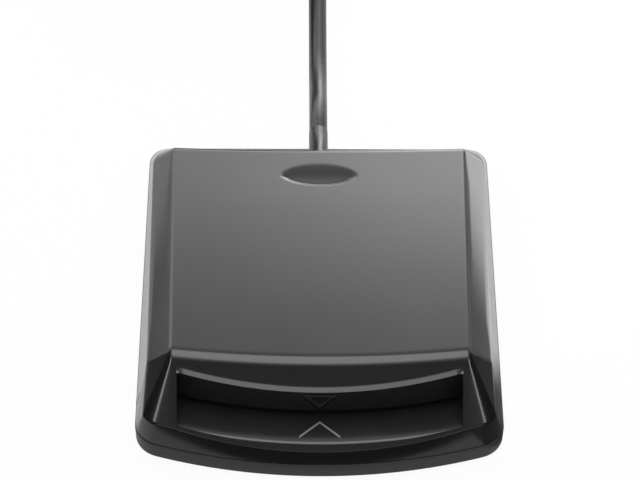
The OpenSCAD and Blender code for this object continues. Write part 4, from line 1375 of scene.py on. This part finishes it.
def make_floor():
    material, tree = new_material("pale floor")
    surface = feed(tree.nodes["Principled BSDF"], {"Base Color": (0.9, 0.9, 0.9, 1), "Roughness": 0.9})
    path = node(tree, "ShaderNodeLightPath").outputs
    share = output(tree, "ShaderNodeMath", {0: path["Is Camera Ray"], 1: CAMERA_GLOW}, operation="MULTIPLY")
    for ray in ("Is Glossy Ray", "Is Transmission Ray"):
        share = output(tree, "ShaderNodeMath", {0: path[ray], 1: MIRROR_GLOW, 2: share},
                       operation="MULTIPLY_ADD")
    glow_through(tree, share, surface.outputs[0])
    flat_piece("floor", FLOOR_SIZE, FLOOR_SIZE, material)


# %% [markdown]
# Lamps and cards
# A gloss black part shows what stands round it rather than its own colour, so the
# light is a small studio of cards. A round lamp hangs overhead, and a wide one fades
# upwards behind, lightest right of the middle. Mirror rays alone meet the others.
# Low glows and shades lie on the floor beside the reader, where its bevels and walls
# mirror them, two lamps outline the ridges, and grey and dark cloths in front keep
# the nose black. None of them is seen by the camera itself.

# %% Cards
CARD_FADE = 1.25


def ramp(tree, value, low, high, stops):
    """A grey level that follows a value through a few stops."""
    share = output(tree, "ShaderNodeMapRange", {"Value": value, "From Min": low, "From Max": high})
    levels = node(tree, "ShaderNodeValToRGB", {"Fac": share})
    levels.color_ramp.interpolation = "EASE"
    spots = levels.color_ramp.elements
    for at, level in stops[1:-1]:
        spots.new((at - low) / (high - low)).color = (level, level, level, 1)
    for spot, (at, level) in ((spots[0], stops[0]), (spots[-1], stops[-1])):
        spot.color = (level, level, level, 1)
    return levels.outputs["Color"]


def glow_material(name, glow, across, along=None, ellipse=None):
    """A glow with soft limits. It lets through what stands behind it where it fades."""
    material, tree = new_material(name)
    tree.nodes.remove(tree.nodes["Principled BSDF"])
    where = output(tree, "ShaderNodeTexCoord", result="Object")
    if ellipse:
        size = (ellipse[0] * MM, ellipse[1] * MM, 1)
        scaled = output(tree, "ShaderNodeVectorMath", {0: where, 1: size}, operation="DIVIDE")
        length = output(tree, "ShaderNodeVectorMath", {0: scaled}, "Value", operation="LENGTH")
        mask = ramp(tree, length, 0, CARD_FADE, across)
    else:
        split = node(tree, "ShaderNodeSeparateXYZ", {0: where}).outputs
        masks = [ramp(tree, split[axis], stops[0][0] * MM, stops[-1][0] * MM,
                      [(at * MM, level) for at, level in stops])
                 for axis, stops in enumerate((across, along or across))]
        mask = output(tree, "ShaderNodeMath", {0: masks[0], 1: masks[1]}, operation="MULTIPLY")
    glow_through(tree, mask, output(tree, "ShaderNodeBsdfTransparent"), glow)
    return material


def make_card(name, centre, facing, width, height, material, mirrored_only=True):
    """A flat card: its X runs along the width, its Y along the height."""
    facing = Vector(facing).normalized()
    up = Vector((0, 0, 1) if facing.xy.length else (0, 1, 0))
    side = up.cross(facing).normalized()
    turn = Matrix((side, facing.cross(side), facing)).transposed().to_4x4()
    card = flat_piece(name, width, height, material)
    card.matrix_world = Matrix.Translation(Vector(centre) * MM) @ turn
    card.visible_camera = False
    card.visible_diffuse = not mirrored_only
    card.visible_shadow = not mirrored_only


# %% World
DIFFUSE_SKY = 0.4


def make_world():
    world = bpy.data.worlds.new("studio")
    world.use_nodes = True
    tree = world.node_tree
    path = node(tree, "ShaderNodeLightPath").outputs
    level = output(tree, "ShaderNodeMapRange", {"Value": path["Is Diffuse Ray"], "To Min": 1,
                                                "To Max": DIFFUSE_SKY})
    feed(tree.nodes["Background"], {"Color": (1, 1, 1, 1), "Strength": level})
    bpy.context.scene.world = world


# %% Where the glows fade
OVERHEAD = [(0, 1), (0.7, 1), (0.8, 0.85), (0.88, 0.4), (0.95, 0.1), (1.05, 0), (CARD_FADE, 0)]
BEHIND_ACROSS = [(-250, 0.2), (-29, 0.42), (0, 0.6), (29, 0.82), (60, 1), (150, 0.5), (190, 0.25),
                 (250, 0.2)]
BEHIND_UP = [(-188, 1), (60, 1), (103, 1), (113, 0.8), (123, 0.53), (133, 0.33), (143, 0.18),
             (152, 0.08), (188, 0)]
CORNER_SPREAD = [(-260, 0), (-190, 0.7), (100, 1), (260, 0)]
SIDE_SPREAD = [(-140, 0), (-90, 1), (90, 1), (140, 0)]
LEFT_ACROSS = [(-80, 0), (-60, 1), (64, 1), (80, 0)]
LEFT_ALONG = [(-80, 0), (-60, 0.8), (-20, 0.78), (2, 0.6), (22, 0.3), (80, 0)]
RIGHT_ACROSS = [(-45, 1), (-30, 0.9), (-18, 0.5), (-4, 0.15), (12, 0), (45, 0)]
RIGHT_ALONG = [(-75, 0), (-45, 1), (50, 1), (75, 0)]
SHADE_ACROSS = [(-80, 0), (-55, 1), (60, 1), (80, 0)]
SHADE_ALONG = [(-80, 0), (-50, 1), (50, 1), (80, 0)]
NEAR_ACROSS = [(-33, 1), (20, 1), (33, 0)]
NEAR_ALONG = [(-30, 1), (17, 1), (30, 0)]

# %% The studio
BACKWARD = (0, -1, 0)
UP = (0, 0, 1)
dark_cloth = finish_material("dark cloth", (0.02, 0.02, 0.02), 0.95, 2, 0.1)
grey_cloth = finish_material("grey cloth", (0.42, 0.42, 0.42), 0.95, 2, 0.1)
make_floor()
make_world()
make_card("overhead_card", (0, 80, 700), (0, 0, -1), 700, 815,
          glow_material("overhead glow", 4.2, OVERHEAD, ellipse=(280, 326)), False)
make_card("back_card", (0, 400, 188), BACKWARD, 500, 376,
          glow_material("back glow", 6.4, BEHIND_ACROSS, BEHIND_UP), False)
make_card("corner_card", (-300, 400, 260), BACKWARD, 520, 520,
          glow_material("corner glow", 2.8, CORNER_SPREAD))
for name, centre, size, glow, fade in (
        ("right_card", (90, 60, 0.5), (90, 150), 2.9, (RIGHT_ACROSS, RIGHT_ALONG)),
        ("left_card", (-140, 70, 0.5), (160, 160), 0.3, (LEFT_ACROSS, LEFT_ALONG)),
        ("right_shade_card", (150, 40, 0.6), (160, 160), 0.4, (SHADE_ACROSS, SHADE_ALONG)),
        ("near_shade_card", (70, -32, 0.4), (66, 60), 0.15, (NEAR_ACROSS, NEAR_ALONG))):
    make_card(name, centre, UP, *size, glow_material(name + " glow", glow, *fade))
for side in (-1, 1):
    make_card("side_glow_card", (side * 580, -420, 700), (-side * 580, 420, -700), 280, 280,
              glow_material("side glow", 9, SIDE_SPREAD))
    make_card("side_card", (side * 300, -135, 150), (-side, 0, 0), 530, 300, dark_cloth)
make_card("front_card", (0, -500, 620), (0, 1, 0), 1100, 950, grey_cloth)
make_card("floor_card", (0, -200, 0.3), UP, 900, 310, dark_cloth)

bpy.context.scene.view_settings.view_transform = "Standard"
